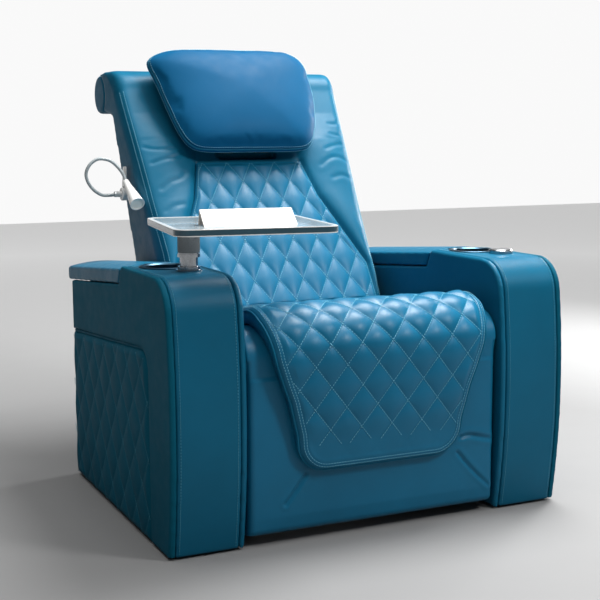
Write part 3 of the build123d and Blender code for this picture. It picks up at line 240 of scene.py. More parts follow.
def crease(piece, path, width, depth, swell):
    """A fold or seam along a path: pressed in on the line, slightly raised beside it."""
    away = path_distance(coords(piece.data), path)
    move = -depth * np.exp(-(away / width) ** 2)
    move += swell * np.exp(-((away - RIDGE_OFF * width) / (RIDGE_WIDTH * width)) ** 2)
    push(piece, move)


def smooth_path(points, count):
    """Points of a smooth curve through the given ones, evenly spread."""
    points = np.asarray(points, float)
    fine = []
    for i in range(len(points) - 1):
        p1, p2 = points[i], points[i + 1]
        p0 = points[i - 1] if i else 2 * p1 - p2
        p3 = points[i + 2] if i + 2 < len(points) else 2 * p2 - p1
        for t in np.linspace(0, 1, SPAN_POINTS, endpoint=False):
            fine.append(0.5 * (2 * p1 + (p2 - p0) * t
                               + (2 * p0 - 5 * p1 + 4 * p2 - p3) * t ** 2
                               + (3 * p1 - p0 - 3 * p2 + p3) * t ** 3))
    fine.append(points[-1])
    fine = np.array(fine)
    steps = lengths(fine)
    return at_lengths(fine, steps, np.linspace(0, steps[-1], count))


def runs(keep):
    """First and last place of every stretch where keep holds, short ones left out."""
    ends = np.flatnonzero(np.diff(np.r_[0, keep.astype(int), 0]))
    return [(i, j) for i, j in zip(ends[::2], ends[1::2]) if j - i >= MIN_POINTS]


def split(hits):
    """Places and normals of the rays that hit."""
    hits = [hit for hit in hits if hit]
    return np.array([place for place, _ in hits]), np.array([normal for _, normal in hits])


class Surface:
    """Finds points on a finished piece."""

    START = 400.0  # a dropped path's rays begin this far off

    def __init__(self, piece):
        bm = bmesh.new()
        bm.from_mesh(piece.data)
        self.tree = BVHTree.FromBMesh(bm)
        bm.free()

    def ray(self, origin, direction):
        hit, normal, _, _ = self.tree.ray_cast(Vector(origin) * MM, Vector(direction))
        if hit is None:
            return None
        return np.array(hit) / MM, np.array(normal)

    def drop(self, path, direction):
        """The path laid on the surface by rays along a direction."""
        return split([self.ray(p - self.START * direction, direction) for p in path])


STITCH_PITCH, STITCH_LENGTH = 6.5, 4.4
STITCH_HALF = 0.7  # half its thickness
STITCH_SHOULDER = 0.62  # share of its half length where it is thickest
STITCH_RISE = 0.6  # its middle stands this share of the half thickness higher


def resample(path, other):
    """Both lists at the middle of every stitch of the path."""
    steps = lengths(path)
    wanted = np.arange(STITCH_PITCH / 2, steps[-1], STITCH_PITCH)
    return at_lengths(path, steps, wanted), at_lengths(other, steps, wanted)


def stitches(name, rows, body, colour="thread"):
    """One mesh of small thread stitches along rows of (points, normals)."""
    verts, faces = [], []
    reach, half = STITCH_LENGTH / 2, STITCH_HALF
    for points, ups in rows:
        place, up = resample(np.asarray(points), np.asarray(ups))
        if len(place) < 2:
            continue
        along = unit(np.gradient(place, axis=0))
        up = unit(up - (up * along).sum(1, keepdims=True) * along)
        across = np.cross(along, up)
        for p, a, u, s in zip(place, along, up, across):
            first = len(verts)
            verts.append(p - a * reach - u * half)
            for share in (-STITCH_SHOULDER, STITCH_SHOULDER):
                base = p + a * reach * share + u * half * STITCH_RISE
                verts += [base + u * half, base + s * half, base - u * half, base - s * half]
            verts.append(p + a * reach - u * half)
            for k in range(4):
                m = (k + 1) % 4
                faces.append((first, first + 1 + m, first + 1 + k))
                faces.append((first + 1 + k, first + 1 + m, first + 5 + m, first + 5 + k))
                faces.append((first + 9, first + 5 + k, first + 5 + m))
    return dress(mesh_piece(name, verts, faces), "leather_top", body, look=colour)


ACROSS = (0.31, 0.57, 0.76)  # any way that no path takes


def tube(name, path, radius, sides, closed=False):
    """A round bead or rod along a path."""
    path = np.asarray(path, float)
    count = len(path)
    along = np.gradient(path, axis=0)
    if closed:
        along = np.roll(path, -1, axis=0) - np.roll(path, 1, axis=0)
    along = unit(along)
    side = np.cross(along[0], ACROSS)
    verts = []
    for p, a in zip(path, along):
        side = unit(side - (side @ a) * a)
        other = np.cross(a, side)
        for k in range(sides):
            turn = 2 * math.pi * k / sides
            verts.append(p + radius * (math.cos(turn) * side + math.sin(turn) * other))
    faces = []
    for i in range(count if closed else count - 1):
        j = (i + 1) % count
        for k in range(sides):
            m = (k + 1) % sides
            faces.append((i * sides + k, i * sides + m, j * sides + m, j * sides + k))
    if not closed:
        faces.append(tuple(range(sides - 1, -1, -1)))
        faces.append(tuple((count - 1) * sides + k for k in range(sides)))
    return mesh_piece(name, verts, faces)


def closed_pad(name, front, back):
    """A closed mesh between two grids of points of the same size, joined along their border."""
    rows, cols = front.shape[:2]
    verts = np.concatenate([front.reshape(-1, 3), back.reshape(-1, 3)])
    index = np.arange(rows * cols).reshape(rows, cols)
    corners = [index[:-1, :-1], index[:-1, 1:], index[1:, 1:], index[1:, :-1]]
    quads = np.stack(corners, axis=-1).reshape(-1, 4)
    far = quads[:, ::-1] + rows * cols
    border = np.concatenate([index[0, :], index[1:, -1], index[-1, -2::-1], index[-2:0:-1, 0]])
    nxt = np.roll(border, -1)
    wall = np.stack([border, border + rows * cols, nxt + rows * cols, nxt], axis=1)
    piece = mesh_piece(name, verts, np.concatenate([quads, far, wall]).tolist())
    face_outward(piece)
    return piece


# ---------- materials
class Graph:
    """A material's node tree."""

    def __init__(self, name):
        self.material = bpy.data.materials.new(name)
        self.material.use_nodes = True
        self.tree = self.material.node_tree
        self.shader = self.tree.nodes["Principled BSDF"]
        self.place = self.node("ShaderNodeTexCoord").outputs["Object"]

    def node(self, kind, inputs=None, **settings):
        made = self.tree.nodes.new(kind)
        for key, value in settings.items():
            setattr(made, key, value)
        for key, value in (inputs or {}).items():
            self.feed(made, key, value)
        return made

    def feed(self, node, socket, value):
        if isinstance(value, bpy.types.NodeSocket):
            self.tree.links.new(value, node.inputs[socket])
        else:
            node.inputs[socket].default_value = value

    def surface(self, colour, rough, normal=None):
        self.feed(self.shader, "Base Color", colour)
        self.feed(self.shader, "Roughness", rough)
        if normal:
            self.feed(self.shader, "Normal", normal)

    def constants(self, **values):
        for key, value in values.items():
            self.shader.inputs[key.replace("_", " ")].default_value = value

    def stretched(self, scale):
        return self.node("ShaderNodeMapping", {"Vector": self.place, "Scale": scale}).outputs[0]

    def noise(self, scale, detail=3.0, rough=0.5):
        inputs = {"Vector": self.place, "Scale": scale, "Detail": detail, "Roughness": rough}
        return self.node("ShaderNodeTexNoise", inputs).outputs["Fac"]

    def ramp(self, factor, low, high, start=0.3, end=0.7):
        made = self.node("ShaderNodeValToRGB", {"Fac": factor})
        for stop, position, colour in zip(made.color_ramp.elements, (start, end), (low, high)):
            stop.position = position
            stop.color = (*colour, 1)
        return made.outputs["Color"]

    def span(self, factor, low, high, start=0.0, end=1.0):
        return self.node("ShaderNodeMapRange", {"Value": factor, "From Min": start, "From Max": end,
                                                "To Min": low, "To Max": high}).outputs["Result"]

    def mix(self, factor, first, second):
        return self.node("ShaderNodeMix", {"Factor": factor, "A": first, "B": (*second, 1)},
                         data_type="RGBA").outputs["Result"]

    def math(self, operation, a, b):
        return self.node("ShaderNodeMath", {0: a, 1: b}, operation=operation).outputs[0]

    def bump(self, height, strength, distance):
        return self.node("ShaderNodeBump", {"Height": height, "Strength": strength,
                                            "Distance": distance}).outputs["Normal"]


def shade(colour, share):
    return tuple(min(1.0, c * share) for c in colour)


PORES, PORE_WALL = 620.0, 0.12  # pores per metre, and the share that is wall
GRAIN, COAT_SHARE = 0.16, 0.12
WORN_FROM, WORN_TO = 0.52, 0.60  # pointiness of the edges that are worn lighter


def leather(name, colour, rough, gloss):
    """Fine pores, uneven tone, edges worn lighter."""
    g = Graph(name)
    tone = g.ramp(g.noise(5.0, 4.0, 0.6), shade(colour, 0.92), shade(colour, 1.08))
    cells = g.node("ShaderNodeTexVoronoi", {"Vector": g.place, "Scale": PORES, "Randomness": 0.9},
                   feature="DISTANCE_TO_EDGE").outputs["Distance"]
    pores = g.span(cells, 0.0, 1.0, 0.0, PORE_WALL)
    worn = g.node("ShaderNodeNewGeometry").outputs["Pointiness"]
    lighter = g.mix(g.span(worn, 0.0, 0.35, WORN_FROM, WORN_TO), tone, shade(colour, 1.7))
    final = g.mix(g.span(pores, 0.16, 0.0), lighter, shade(colour, 0.55))
    height = g.math("ADD", g.math("MULTIPLY", pores, 0.6),
                    g.math("MULTIPLY", g.noise(1400.0), 0.4))
    g.surface(final, g.span(g.noise(38.0, 5.0), *rough, 0.3, 0.7), g.bump(height, GRAIN, 0.0006))
    g.constants(Specular_IOR_Level=gloss, Coat_Weight=gloss * COAT_SHARE, Coat_Roughness=0.25)
    return g.material


def metal(name, colour, rough):
    """Brushed round the upright axis."""
    g = Graph(name)
    lines = g.node("ShaderNodeTexNoise", {"Vector": g.stretched((1, 1, 40)), "Scale": 60.0,
                                          "Detail": 4.0}).outputs["Fac"]
    g.surface(g.ramp(lines, shade(colour, 0.85), shade(colour, 1.1)),
              g.span(lines, rough - 0.06, rough + 0.08), g.bump(lines, 0.06, 0.0003))
    g.constants(Metallic=1.0)
    return g.material


def plastic(name, colour, rough, grain=0.05, coat=0.0, scale=900.0):
    g = Graph(name)
    g.surface(g.ramp(g.noise(30.0), shade(colour, 0.93), shade(colour, 1.04)),
              g.span(g.noise(60.0, 4.0), rough - 0.04, rough + 0.06),
              g.bump(g.noise(scale, 2.0), grain, 0.0004))
    g.constants(Coat_Weight=coat)
    return g.material


def thread(name, colour):
    return plastic(name, colour, 0.55, 0.3, scale=3000.0)


def wood(name, colour):
    g = Graph(name)
    grain = g.node("ShaderNodeTexNoise", {"Vector": g.stretched((3.0, 40.0, 8.0)), "Scale": 6.0,
                                          "Detail": 6.0, "Distortion": 1.2}).outputs["Fac"]
    g.surface(g.ramp(grain, shade(colour, 0.6), shade(colour, 1.15)), g.span(grain, 0.55, 0.75),
              g.bump(grain, 0.2, 0.0004))
    return g.material


def glass(name, colour):
    g = Graph(name)
    haze = g.noise(14.0, 4.0)
    g.surface(g.ramp(haze, shade(colour, 0.94), shade(colour, 1.04)), g.span(haze, 0.05, 0.12))
    g.constants(Alpha=0.5, Transmission_Weight=0.25, IOR=1.5)
    return g.material


recipes = {
    # leather_top is a lighter, bluer copy of leather_body: painted light on the tops that the lamps
    # light most.
    "leather_top": (leather, (0.004, 0.118, 0.222), (0.32, 0.42), 0.2),
    "leather_body": (leather, (0.003, 0.100, 0.180), (0.34, 0.46), 0.12),
    # The pillow's leather is a darker copy with low gloss: the darker colour is painted shade for
    # the pillow's lower half.
    "leather_pillow": (leather, (0.001, 0.068, 0.158), (0.48, 0.6), 0.06),
    "leather_dark": (leather, (0.003, 0.080, 0.130), (0.5, 0.62), 0.03),
    "plywood": (wood, (0.45, 0.32, 0.19)),
    "steel_black": (plastic, (0.02, 0.02, 0.022), 0.38, 0.03),
    "steel_zinc": (metal, (0.52, 0.52, 0.5), 0.36),
    "cup_metal": (metal, (0.05, 0.11, 0.16), 0.3),
    "silver": (metal, (0.42, 0.44, 0.46), 0.2),
    "plastic_black": (plastic, (0.012, 0.012, 0.014), 0.45),
    "plastic_grey": (plastic, (0.20, 0.215, 0.22), 0.42),
    "white_gloss": (plastic, (0.80, 0.80, 0.78), 0.18, 0.01, 0.5),
    "tray_glass": (glass, (0.62, 0.70, 0.73)),
    "lens": (plastic, (0.9, 0.88, 0.8), 0.2, 0.08, 0.3, 260.0),
    "thread": (thread, (0.16, 0.48, 0.62)),
    "thread_arm": (thread, (0.06, 0.29, 0.40)),
    "cream": (plastic, (0.50, 0.455, 0.415), 0.4, 0.02),
    "thread_dim": (thread, (0.03, 0.20, 0.29)),
    "neck_grey": (plastic, (0.33, 0.37, 0.38), 0.35, 0.02, 0.1),
    "edge_teal": (plastic, (0.006, 0.05, 0.075), 0.2, 0.01, 0.4),
}
finish = {name: make(name, *values) for name, (make, *values) in recipes.items()}


def dress(piece, slot, body=None, replaced=(), look=None):
    """Material (its look, else its slot's finish) and body of a new piece; hides the CAD nodes it
    replaces.
    """
    piece.data.materials.clear()
    piece.data.materials.append(finish[look or slot])
    if body:
        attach(piece, body)
    if replaced:
        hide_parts(*replaced)
    return piece


def soft_piece(name, source, voxel, rounds, slot, body, look=None):
    """A plain cushion in the place of a CAD node."""
    return dress(soft_copy(name, source, voxel, rounds), slot, body, (source,), look)


# ---------- quilting
def round_over(share):
    """Quarter circle: 0 at the edge, 1 where the rounding ends."""
    return np.sqrt(np.clip(1 - (1 - share) ** 2, 0, 1))


class Quilt:
    """Diamonds of a width and a height about a crossing, padded between the sewn diagonals."""

    def __init__(self, width, height, x0, s0, rise, power=0.42):
        self.width, self.height, self.x0, self.s0 = width, height, x0, s0
        self.rise, self.power = rise, power
        self.slope = width / height

    def puffs(self, x, s):
        """Height of the padding."""
        lean = (s - self.s0) * self.slope
        a = (x - self.x0 + lean) / self.width
        b = (x - self.x0 - lean) / self.width
        return self.rise * (np.abs(np.sin(math.pi * a)) * np.abs(np.sin(math.pi * b))) ** self.power

    def diagonals(self, low, high, half, shift=0.0, step=3.0):
        """The sewn lines as lists of (x, s), cut to |x - shift| <= half(s)."""
        s = np.arange(low, high, step)
        edge = half(s)
        x0 = self.x0 - shift
        reach = edge.max() + self.slope * (abs(low) + abs(high) + abs(self.s0))
        count = int(reach / self.width) + 2
        lines = []
        for side in (1, -1):
            for k in range(-count, count + 1):
                x = x0 + k * self.width - side * (s - self.s0) * self.slope
                lines += [np.stack([x[i:j] + shift, s[i:j]], axis=1)
                          for i, j in runs(np.abs(x) < edge)]
        return lines


# ---------- seat cover with its apron
NOSE_Y, NOSE_Z = -320.0, 405.0  # centre of the nose's round
FOAM_R, SKIN_R, COVER_R = 60.6, 66.0, 110.0
SEAT_REAR_Y = 71.0
COVER_REAR_Z = 447.0
COVER_RUN = math.hypot(SEAT_REAR_Y - NOSE_Y, NOSE_Z + COVER_R - COVER_REAR_Z)
COVER_ARC = COVER_R * math.pi / 2
APRON_LENGTH, APRON_CORNER = 247.0, 70.0
COVER_END = COVER_ARC + APRON_LENGTH
APRON_LEAN, LEAN_DEPTH = 14.0, 40.0  # how far its low edge leans in, and how deep
COVER_KEYS = ([-COVER_RUN, 0, 60, COVER_ARC, COVER_ARC + 55, COVER_ARC + 88, COVER_ARC + 165,
               COVER_END], [281, 279, 276, 256, 237, 224, 204, 196])
COVER_EDGE = 15.0  # radius of its outer edge
COVER_BORDER, BORDER_FADE, BORDER_RISE = 18.0, 12.0, 1.5
COVER_SINK = 5.0  # the sewn lines lie this deep
COVER_WIDEST = 282
THREAD_PROUD, THREAD_INSETS = 1.1, (9.5, 16.0)
SEAM_INSET, SEAM_DEPTH, SEAM_WIDTH = 17.5, 1.6, 2.2
cover_quilt = Quilt(75.0, 93.0, 18.5, 49.0, 7.0, 0.58)
QUILT_END, QUILT_FADE = cover_quilt.s0 + 315, 60.0


def cover_half(s):
    """Half width of the cover at a length from the top of the nose, before its low corners."""
    return np.interp(s, *COVER_KEYS)


def cover_outline():
    straight = COVER_END - APRON_CORNER
    side = [(cover_half(s), s) for s in np.arange(-COVER_RUN, straight, 12.0)]
    wide = cover_half(straight)
    turn = [(wide - APRON_CORNER * (1 - math.cos(t)), straight + APRON_CORNER * math.sin(t))
            for t in np.linspace(0, math.pi / 2, 14)]
    low = [(x, COVER_END) for x in np.linspace(wide - APRON_CORNER, 0, 12)[1:]]
    right = side + turn + low
    return np.array(right + [(-x, s) for x, s in right[-2::-1]])


cover_line = cover_outline()


def cover_place(x, s, depth):
    """Point of the cover at a depth below its full outside."""
    x, s, depth = np.broadcast_arrays(np.asarray(x, float), s, depth)
    rise_y, rise_z = SEAT_REAR_Y - NOSE_Y, COVER_REAR_Z - NOSE_Z - COVER_R
    normal_y, normal_z = -rise_z / COVER_RUN, rise_y / COVER_RUN
    share = -s / COVER_RUN
    turn = s / COVER_R
    fall = np.clip(s - COVER_ARC, 0, None)
    lean = APRON_LEAN * (fall / APRON_LENGTH) ** 1.5 * (depth < LEAN_DEPTH)
    parts = [s < 0, s < COVER_ARC]
    y = np.select(parts, [NOSE_Y + rise_y * share - normal_y * depth * share,
                          NOSE_Y - (COVER_R - depth) * np.sin(turn)],
                  NOSE_Y - COVER_R + depth + lean)
    z = np.select(parts, [NOSE_Z + COVER_R + rise_z * share - normal_z * depth,
                          NOSE_Z + (COVER_R - depth) * np.cos(turn)], NOSE_Z - fall)
    return np.stack([x, y, z], axis=-1)


def cover_thickness(s):
    """From the outside to the underside: down to the foam and to the leg panel."""
    return np.interp(s, [-COVER_RUN, 0, COVER_ARC, COVER_END], [22.0, 41.0, 41.0, 35.5])


def cover_top(x, s):
    """Depth of the quilted outside below its full height."""
    away = edge_distance(x, s, cover_line)
    rounding = COVER_EDGE * (1 - round_over(np.clip(away / COVER_EDGE, 0, 1)))
    inner = np.clip((away - COVER_BORDER) / BORDER_FADE, 0, 1)
    fade = np.clip((QUILT_END - s) / QUILT_FADE, 0.1, 1)
    swell = cover_quilt.puffs(x, s) * inner * fade
    seam = SEAM_DEPTH * np.exp(-((away - SEAM_INSET) / SEAM_WIDTH) ** 2)
    border = BORDER_RISE * (1 - inner) * np.clip(away / COVER_BORDER, 0, 1)
    return COVER_SINK - swell + rounding + seam - border


def bend_cover(piece):
    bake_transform(piece)


def build_cover():
    step = 3.0
    straight = COVER_END - APRON_CORNER
    s = np.arange(-COVER_RUN, COVER_END, step)
    s = np.r_[s[s < COVER_END - 1], COVER_END]
    half = cover_half(s)
    low = s > straight
    half[low] = cover_half(straight) - APRON_CORNER + np.sqrt(
        np.clip(APRON_CORNER ** 2 - (s[low] - straight) ** 2, 0, None))
    share = np.linspace(-1, 1, int(2 * COVER_WIDEST / step))
    x = half[:, None] * share[None, :]
    s2 = np.broadcast_to(s[:, None], x.shape)
    top = cover_place(x, s2, cover_top(x, s2))
    under = cover_place(x * 0.995, s2, np.broadcast_to(cover_thickness(s)[:, None], x.shape))
    piece = closed_pad("seat_cover", top, under)
    dress(piece, "leather_top", None, ("seat_quilt", "nose_quilt", "leg_apron"))
    bend_cover(piece)


def cover_row(x, s):
    """Points and normals of a row of thread that stands proud of the cover."""
    depth = cover_top(x, s) - THREAD_PROUD
    place = cover_place(x, s, depth)
    return place, unit(place - cover_place(x, s, depth + 5))


def cover_rows():
    """Thread on the cover: both diagonals, and twin rows along its border."""
    rows = []
    for line in cover_quilt.diagonals(-COVER_RUN + 10, COVER_END - 58,
                                      lambda s: cover_half(s) - COVER_BORDER):
        line = line[path_distance(line, cover_line) > COVER_BORDER]
        if len(line) >= MIN_POINTS:
            rows.append(cover_row(line[:, 0], line[:, 1]))
    centre = np.array([0.0, 60.0])
    for inset in THREAD_INSETS:
        path = smooth_path(cover_line[1:-1], 420)
        normal = unit(np.gradient(path, axis=0)[:, ::-1] * (1, -1))
        normal *= np.sign(((centre - path) * normal).sum(1, keepdims=True))
        path = path + normal * inset
        rows.append(cover_row(path[:, 0], path[:, 1]))
    return rows


def cover_piping():
    path = smooth_path(cover_line[1:-1], 300)
    depth = cover_top(path[:, 0] * 0.995, path[:, 1]) - 1.0
    points = cover_place(path[:, 0] * 0.999, path[:, 1], np.minimum(depth, 24.0))
    piece = tube("seat_cover_piping", points, 2.6, 8)
    dress(piece, "leather_top", look="leather_body")
    bend_cover(piece)


build_cover()
bend_cover(stitches("seat_cover_thread", cover_rows(), None))
cover_piping()

# ---------- seat body and leg rest
PANEL_Y = -388.0
PANEL_FOOT, PANEL_BACK = 24.0, -334.6
FOOT_R = 16.0  # round of the panel's low edge
SKIN_REAR_Z = 421.0
SKIN_RUN = math.hypot(SEAT_REAR_Y - NOSE_Y, NOSE_Z + SKIN_R - SKIN_REAR_Z)
SKIN_ARC = SKIN_R * math.pi / 2
SKIN_END = SKIN_ARC + NOSE_Z - PANEL_FOOT
SKIN_KEYS = ([-SKIN_RUN, 0, SKIN_ARC - 30, SKIN_ARC + 40, SKIN_END], [313, 313, 312, 307, 306])
SKIN_COLUMNS = 150
SKIN_THICK, SKIN_THICKER = 5.0, 30.0  # at the nose, and how much more at the rear
SEAT_EDGE, PANEL_EDGE = (5.0, 4.5), (14.0, 12.0)  # reach and depth of the side edges
PANEL_SWELL, PANEL_SWELL_REACH = 5.0, 90.0
panel_folds = (
    ([(-176, 152), (-198, 122), (-224, 90)], 3.4, 4.8),
    ([(206, 154), (248, 108), (293, 65)], 3.4, 5.2),
    ([(214, 188), (240, 190), (275, 181), (303, 174)], 4.2, 6.5))


def skin_section(s):
    """Outer and inner (y, z) of the leather over the seat, round the nose and down the leg rest."""
    if s < 0:
        share = -s / SKIN_RUN
        y = NOSE_Y + (SEAT_REAR_Y - NOSE_Y) * share
        top = NOSE_Z + SKIN_R + (SKIN_REAR_Z - NOSE_Z - SKIN_R) * share
        return (y, top), (y, top - SKIN_THICK - SKIN_THICKER * share)
    if s < SKIN_ARC:
        cosine, sine = math.cos(s / SKIN_R), math.sin(s / SKIN_R)
        return ((NOSE_Y - SKIN_R * sine, NOSE_Z + SKIN_R * cosine),
                (NOSE_Y - FOAM_R * sine, NOSE_Z + FOAM_R * cosine))
    fall = s - SKIN_ARC
    z = NOSE_Z - fall
    outer = NOSE_Y - SKIN_R + (PANEL_Y + 2 - NOSE_Y + SKIN_R) * min(fall / 60.0, 1)
    low = max(0.0, PANEL_FOOT + FOOT_R - z)
    outer += FOOT_R - math.sqrt(max(FOOT_R ** 2 - low ** 2, 0))
    inner = NOSE_Y - math.sqrt(max(FOAM_R ** 2 - min(fall, FOAM_R) ** 2, 0))
    return (outer, z), (min(inner, PANEL_BACK), z)


def build_skin():
    s = np.r_[np.arange(-SKIN_RUN, SKIN_END - 1, 4.0), SKIN_END]
    half = np.interp(s, *SKIN_KEYS)  # full between the arms, narrower on the leg rest
    share = (np.sin(np.linspace(-math.pi / 2, math.pi / 2, SKIN_COLUMNS)) * 0.35
             + np.linspace(-1, 1, SKIN_COLUMNS) * 0.65)
    section = np.array([skin_section(v) for v in s])
    x = half[:, None] * share
    away = half[:, None] - np.abs(x)
    reach, depth = np.where((s < SKIN_ARC)[:, None], SEAT_EDGE, PANEL_EDGE).T[..., None]
    tuck = depth * (1 - round_over(np.clip(away / reach, 0, 1)))
    swell = PANEL_SWELL * np.clip(away / PANEL_SWELL_REACH, 0, 1) ** 0.5
    swell = swell * (s > SKIN_ARC + 40)[:, None] * np.clip((SKIN_END - s) / 40.0, 0, 1)[:, None]
    outer, inner = section[:, 0], section[:, 1]
    move = (swell - tuck)[..., None] * unit(outer - inner)[:, None, :]
    front = np.concatenate([x[..., None], outer[:, None, :] + move], axis=-1)
    inner = np.broadcast_to(inner[:, None, :], x.shape + (2,))
    piece = closed_pad("seat_and_leg_cushion", front,
                       np.concatenate([x[..., None], inner], axis=-1))
    for points, width, depth in panel_folds:
        line = [(x, PANEL_Y - 3, z) for x, z in points]
        crease(piece, smooth_path(line, 30), width, depth, 1.2)
    # The cushion takes the lighter leather_top look, which is painted light, in place of its
    # leather_body slot.
    dress(piece, "leather_body", None, ("seat_foam", "leg_panel"), "leather_top")
    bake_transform(piece)


build_skin()

# ---------- backrest
LEAN = math.radians(32.0)
UP = np.array([0.0, math.sin(LEAN), math.cos(LEAN)])
OUT = np.array([0.0, -math.cos(LEAN), math.sin(LEAN)])
BACK = np.array([0.0, 195.0, 580.0])
BACK_KEYS = ([-172, 0, 488], [294, 298, 324])
PANEL_LOW, PANEL_HIGH = -172.0, 256.0
PANEL_KEYS = ([PANEL_LOW, -60, 150, PANEL_HIGH], [270, 268, 176, 150])
WING_SWELL, VALLEY_DEPTH, VALLEY_WIDTH = 15.0, 5.0, 7.0
WAVE, WAVE_U, WAVE_X = 1.8, 31.0, 44.0
BACK_EDGE = 26.0  # radius of the back's front edges
back_quilt = Quilt(68.0, 116.0, 0.0, 20.0, 6.0, 0.55)
back_folds = (
    ([(-286, 302), (-256, 292), (-210, 292)], 3.4, 2.6),
    ([(-272, 252), (-240, 262), (-206, 268), (-182, 282)], 4.0, 2.8),
    ([(-262, 176), (-234, 196), (-206, 206), (-190, 222)], 4.6, 2.2),
    ([(-262, 110), (-240, 124), (-214, 130)], 5.0, 1.6),
    ([(290, 306), (262, 300), (232, 288)], 4.0, 1.6),
    ([(292, 252), (266, 262), (236, 258), (206, 238)], 4.6, 2.0),
    ([(288, 196), (262, 206), (232, 198)], 5.0, 1.6),
    ([(300, 380), (286, 372), (268, 374)], 4.0, 1.6),
    ([(300, 340), (284, 334), (262, 338)], 4.0, 1.6))


def on_back(x, u, n):
    """Point of the leaning front face: across, up the slope, out of it."""
    x, u, n = np.broadcast_arrays(np.asarray(x, float), u, n)
    return BACK + np.stack([x, 0 * x, 0 * x], -1) + u[..., None] * UP + n[..., None] * OUT


def back_half(u):
    return np.interp(u, *BACK_KEYS)


def panel_half(u):
    return np.interp(u, *PANEL_KEYS)


def shape_wings(back):
    """The wings swell beside the quilted panel and fold below the pillow."""
    co = coords(back.data)
    x, u, n = co[:, 0], (co - BACK) @ UP, (co - BACK) @ OUT
    front = np.clip((n + 14) / 14, 0, 1) * np.clip((u + 150) / 60, 0, 1)
    gap = np.abs(x) - panel_half(u)
    across = np.clip(gap / np.clip(back_half(u) - panel_half(u), 30, None), 0, 1)
    swell = WING_SWELL * np.sin(math.pi * across ** 0.8) ** 0.8 * (gap > 0)
    valley = -VALLEY_DEPTH * np.exp(-(gap / VALLEY_WIDTH) ** 2) * (u < PANEL_HIGH + 6)
    wave = WAVE * np.sin(u / WAVE_U + np.abs(x) / WAVE_X) * np.sin(math.pi * across)
    wave = wave * (gap > 0) * (u < 330)
    move = (swell + valley + wave) * front * np.clip((440 - u) / 120, 0.25, 1)
    inward = np.clip((back_half(u) - np.abs(x)) / BACK_EDGE, 0, 1)
    sides = np.clip((n + 60) / 60, 0, 1) * np.clip((u + 160) / 40, 0, 1)
    move -= BACK_EDGE * (1 - round_over(inward)) * sides
    set_coords(back.data, co + OUT * move[:, None])


back = soft_copy("back_cushion", "back_foam", 6.0, 5)
shape_wings(back)
back_surface = Surface(back)
for points, width, depth in back_folds:
    line = smooth_path([(x, u, 0) for x, u in points], 40)
    path, _ = back_surface.drop(on_back(line[:, 0], line[:, 1], 40), -OUT)
    crease(back, path, width, depth, 0.4)
dress(back, "leather_body", "backrest", ("back_foam",))
back_surface = Surface(back)
soft_piece("back_rear_cover", "back_shell", 6.0, 3, "leather_dark", "backrest")
soft_piece("back_top_roll", "back_roll", 5.0, 4, "leather_body", "backrest")


def build_back_quilt():
    step = 3.0
    u = np.arange(PANEL_LOW, PANEL_HIGH + 0.1, step)
    x = panel_half(u)[:, None] * np.linspace(-1, 1, int(2 * 250 / step))
    u2 = np.broadcast_to(u[:, None], x.shape)
    right = [(panel_half(v), v) for v in np.arange(PANEL_LOW, PANEL_HIGH + 1, 8.0)]
    outline = np.array(right + [(-half, v) for half, v in right[::-1]] + right[:1])
    away = edge_distance(x, u2, outline)
    rise = 8.5 * round_over(np.clip(away / 12.0, 0, 1))
    rise = rise + back_quilt.puffs(x, u2) * np.clip((away - 4) / 9.0, 0, 1)
    piece = closed_pad("back_quilt_cover", on_back(x, u2, rise),
                       on_back(x, u2, np.full_like(x, -4.0)))
    dress(piece, "leather_top", "backrest", ("back_quilt",))


def back_quilt_rows():
    rows = []
    low, high = PANEL_LOW + 6, PANEL_HIGH - 4
    for line in back_quilt.diagonals(low, high, lambda u: panel_half(u) - 5):
        place = on_back(line[:, 0], line[:, 1], 9.6)
        rows.append((place, np.broadcast_to(OUT, place.shape)))
    u = np.arange(low, high, 4.0)
    for side in (1, -1):
        place = on_back(side * (panel_half(u) - 6), u, 8.2)
        rows.append((place, np.broadcast_to(OUT, place.shape)))
    return rows


def back_edge_rows():
    """Twin rows down both front edges of the back, from the top roll to the arms."""
    rows = []
    u = np.linspace(-150, 478, 90)
    for side in (1, -1):
        for inset in (9.0, 17.0):
            path, up = back_surface.drop(on_back(side * (back_half(u) - inset), u, 40), -OUT)
            rows.append((path + up * 0.3, up))
    return rows


build_back_quilt()
stitches("back_quilt_thread", back_quilt_rows(), "backrest")
stitches("back_edge_thread", back_edge_rows(), "backrest")

# ---------- head pillow
PILLOW_U, PILLOW_N = 427.0, 48.0  # its middle, up the back and out of it
PILLOW_FRONT, PILLOW_REAR = 60.0, 40.0
PILLOW_FRONT_POWER, PILLOW_REAR_POWER, POWER_RISE = 1.9, 3.4, 0.35
PILLOW_SLACK = 3.0  # it is this much smaller before it is inflated
pillow_plan = [(0, 252), (138, 252), (180, 270), (206, 330), (220, 400), (224, 470), (220, 532),
               (196, 566), (150, 582), (0, 584), (-150, 582), (-206, 572), (-246, 552),
               (-256, 530), (-240, 470), (-228, 400), (-212, 326), (-190, 270), (-148, 252)]


def pillow_outline():
    """Plan of the pillow on the back's face, (x, u), anticlockwise with round corners."""
    points = np.array(pillow_plan, float)
    for _ in range(4):
        after = np.roll(points, -1, axis=0)
        cut = [0.75 * points + 0.25 * after, 0.25 * points + 0.75 * after]
        points = np.stack(cut, 1).reshape(-1, 2)
    return points


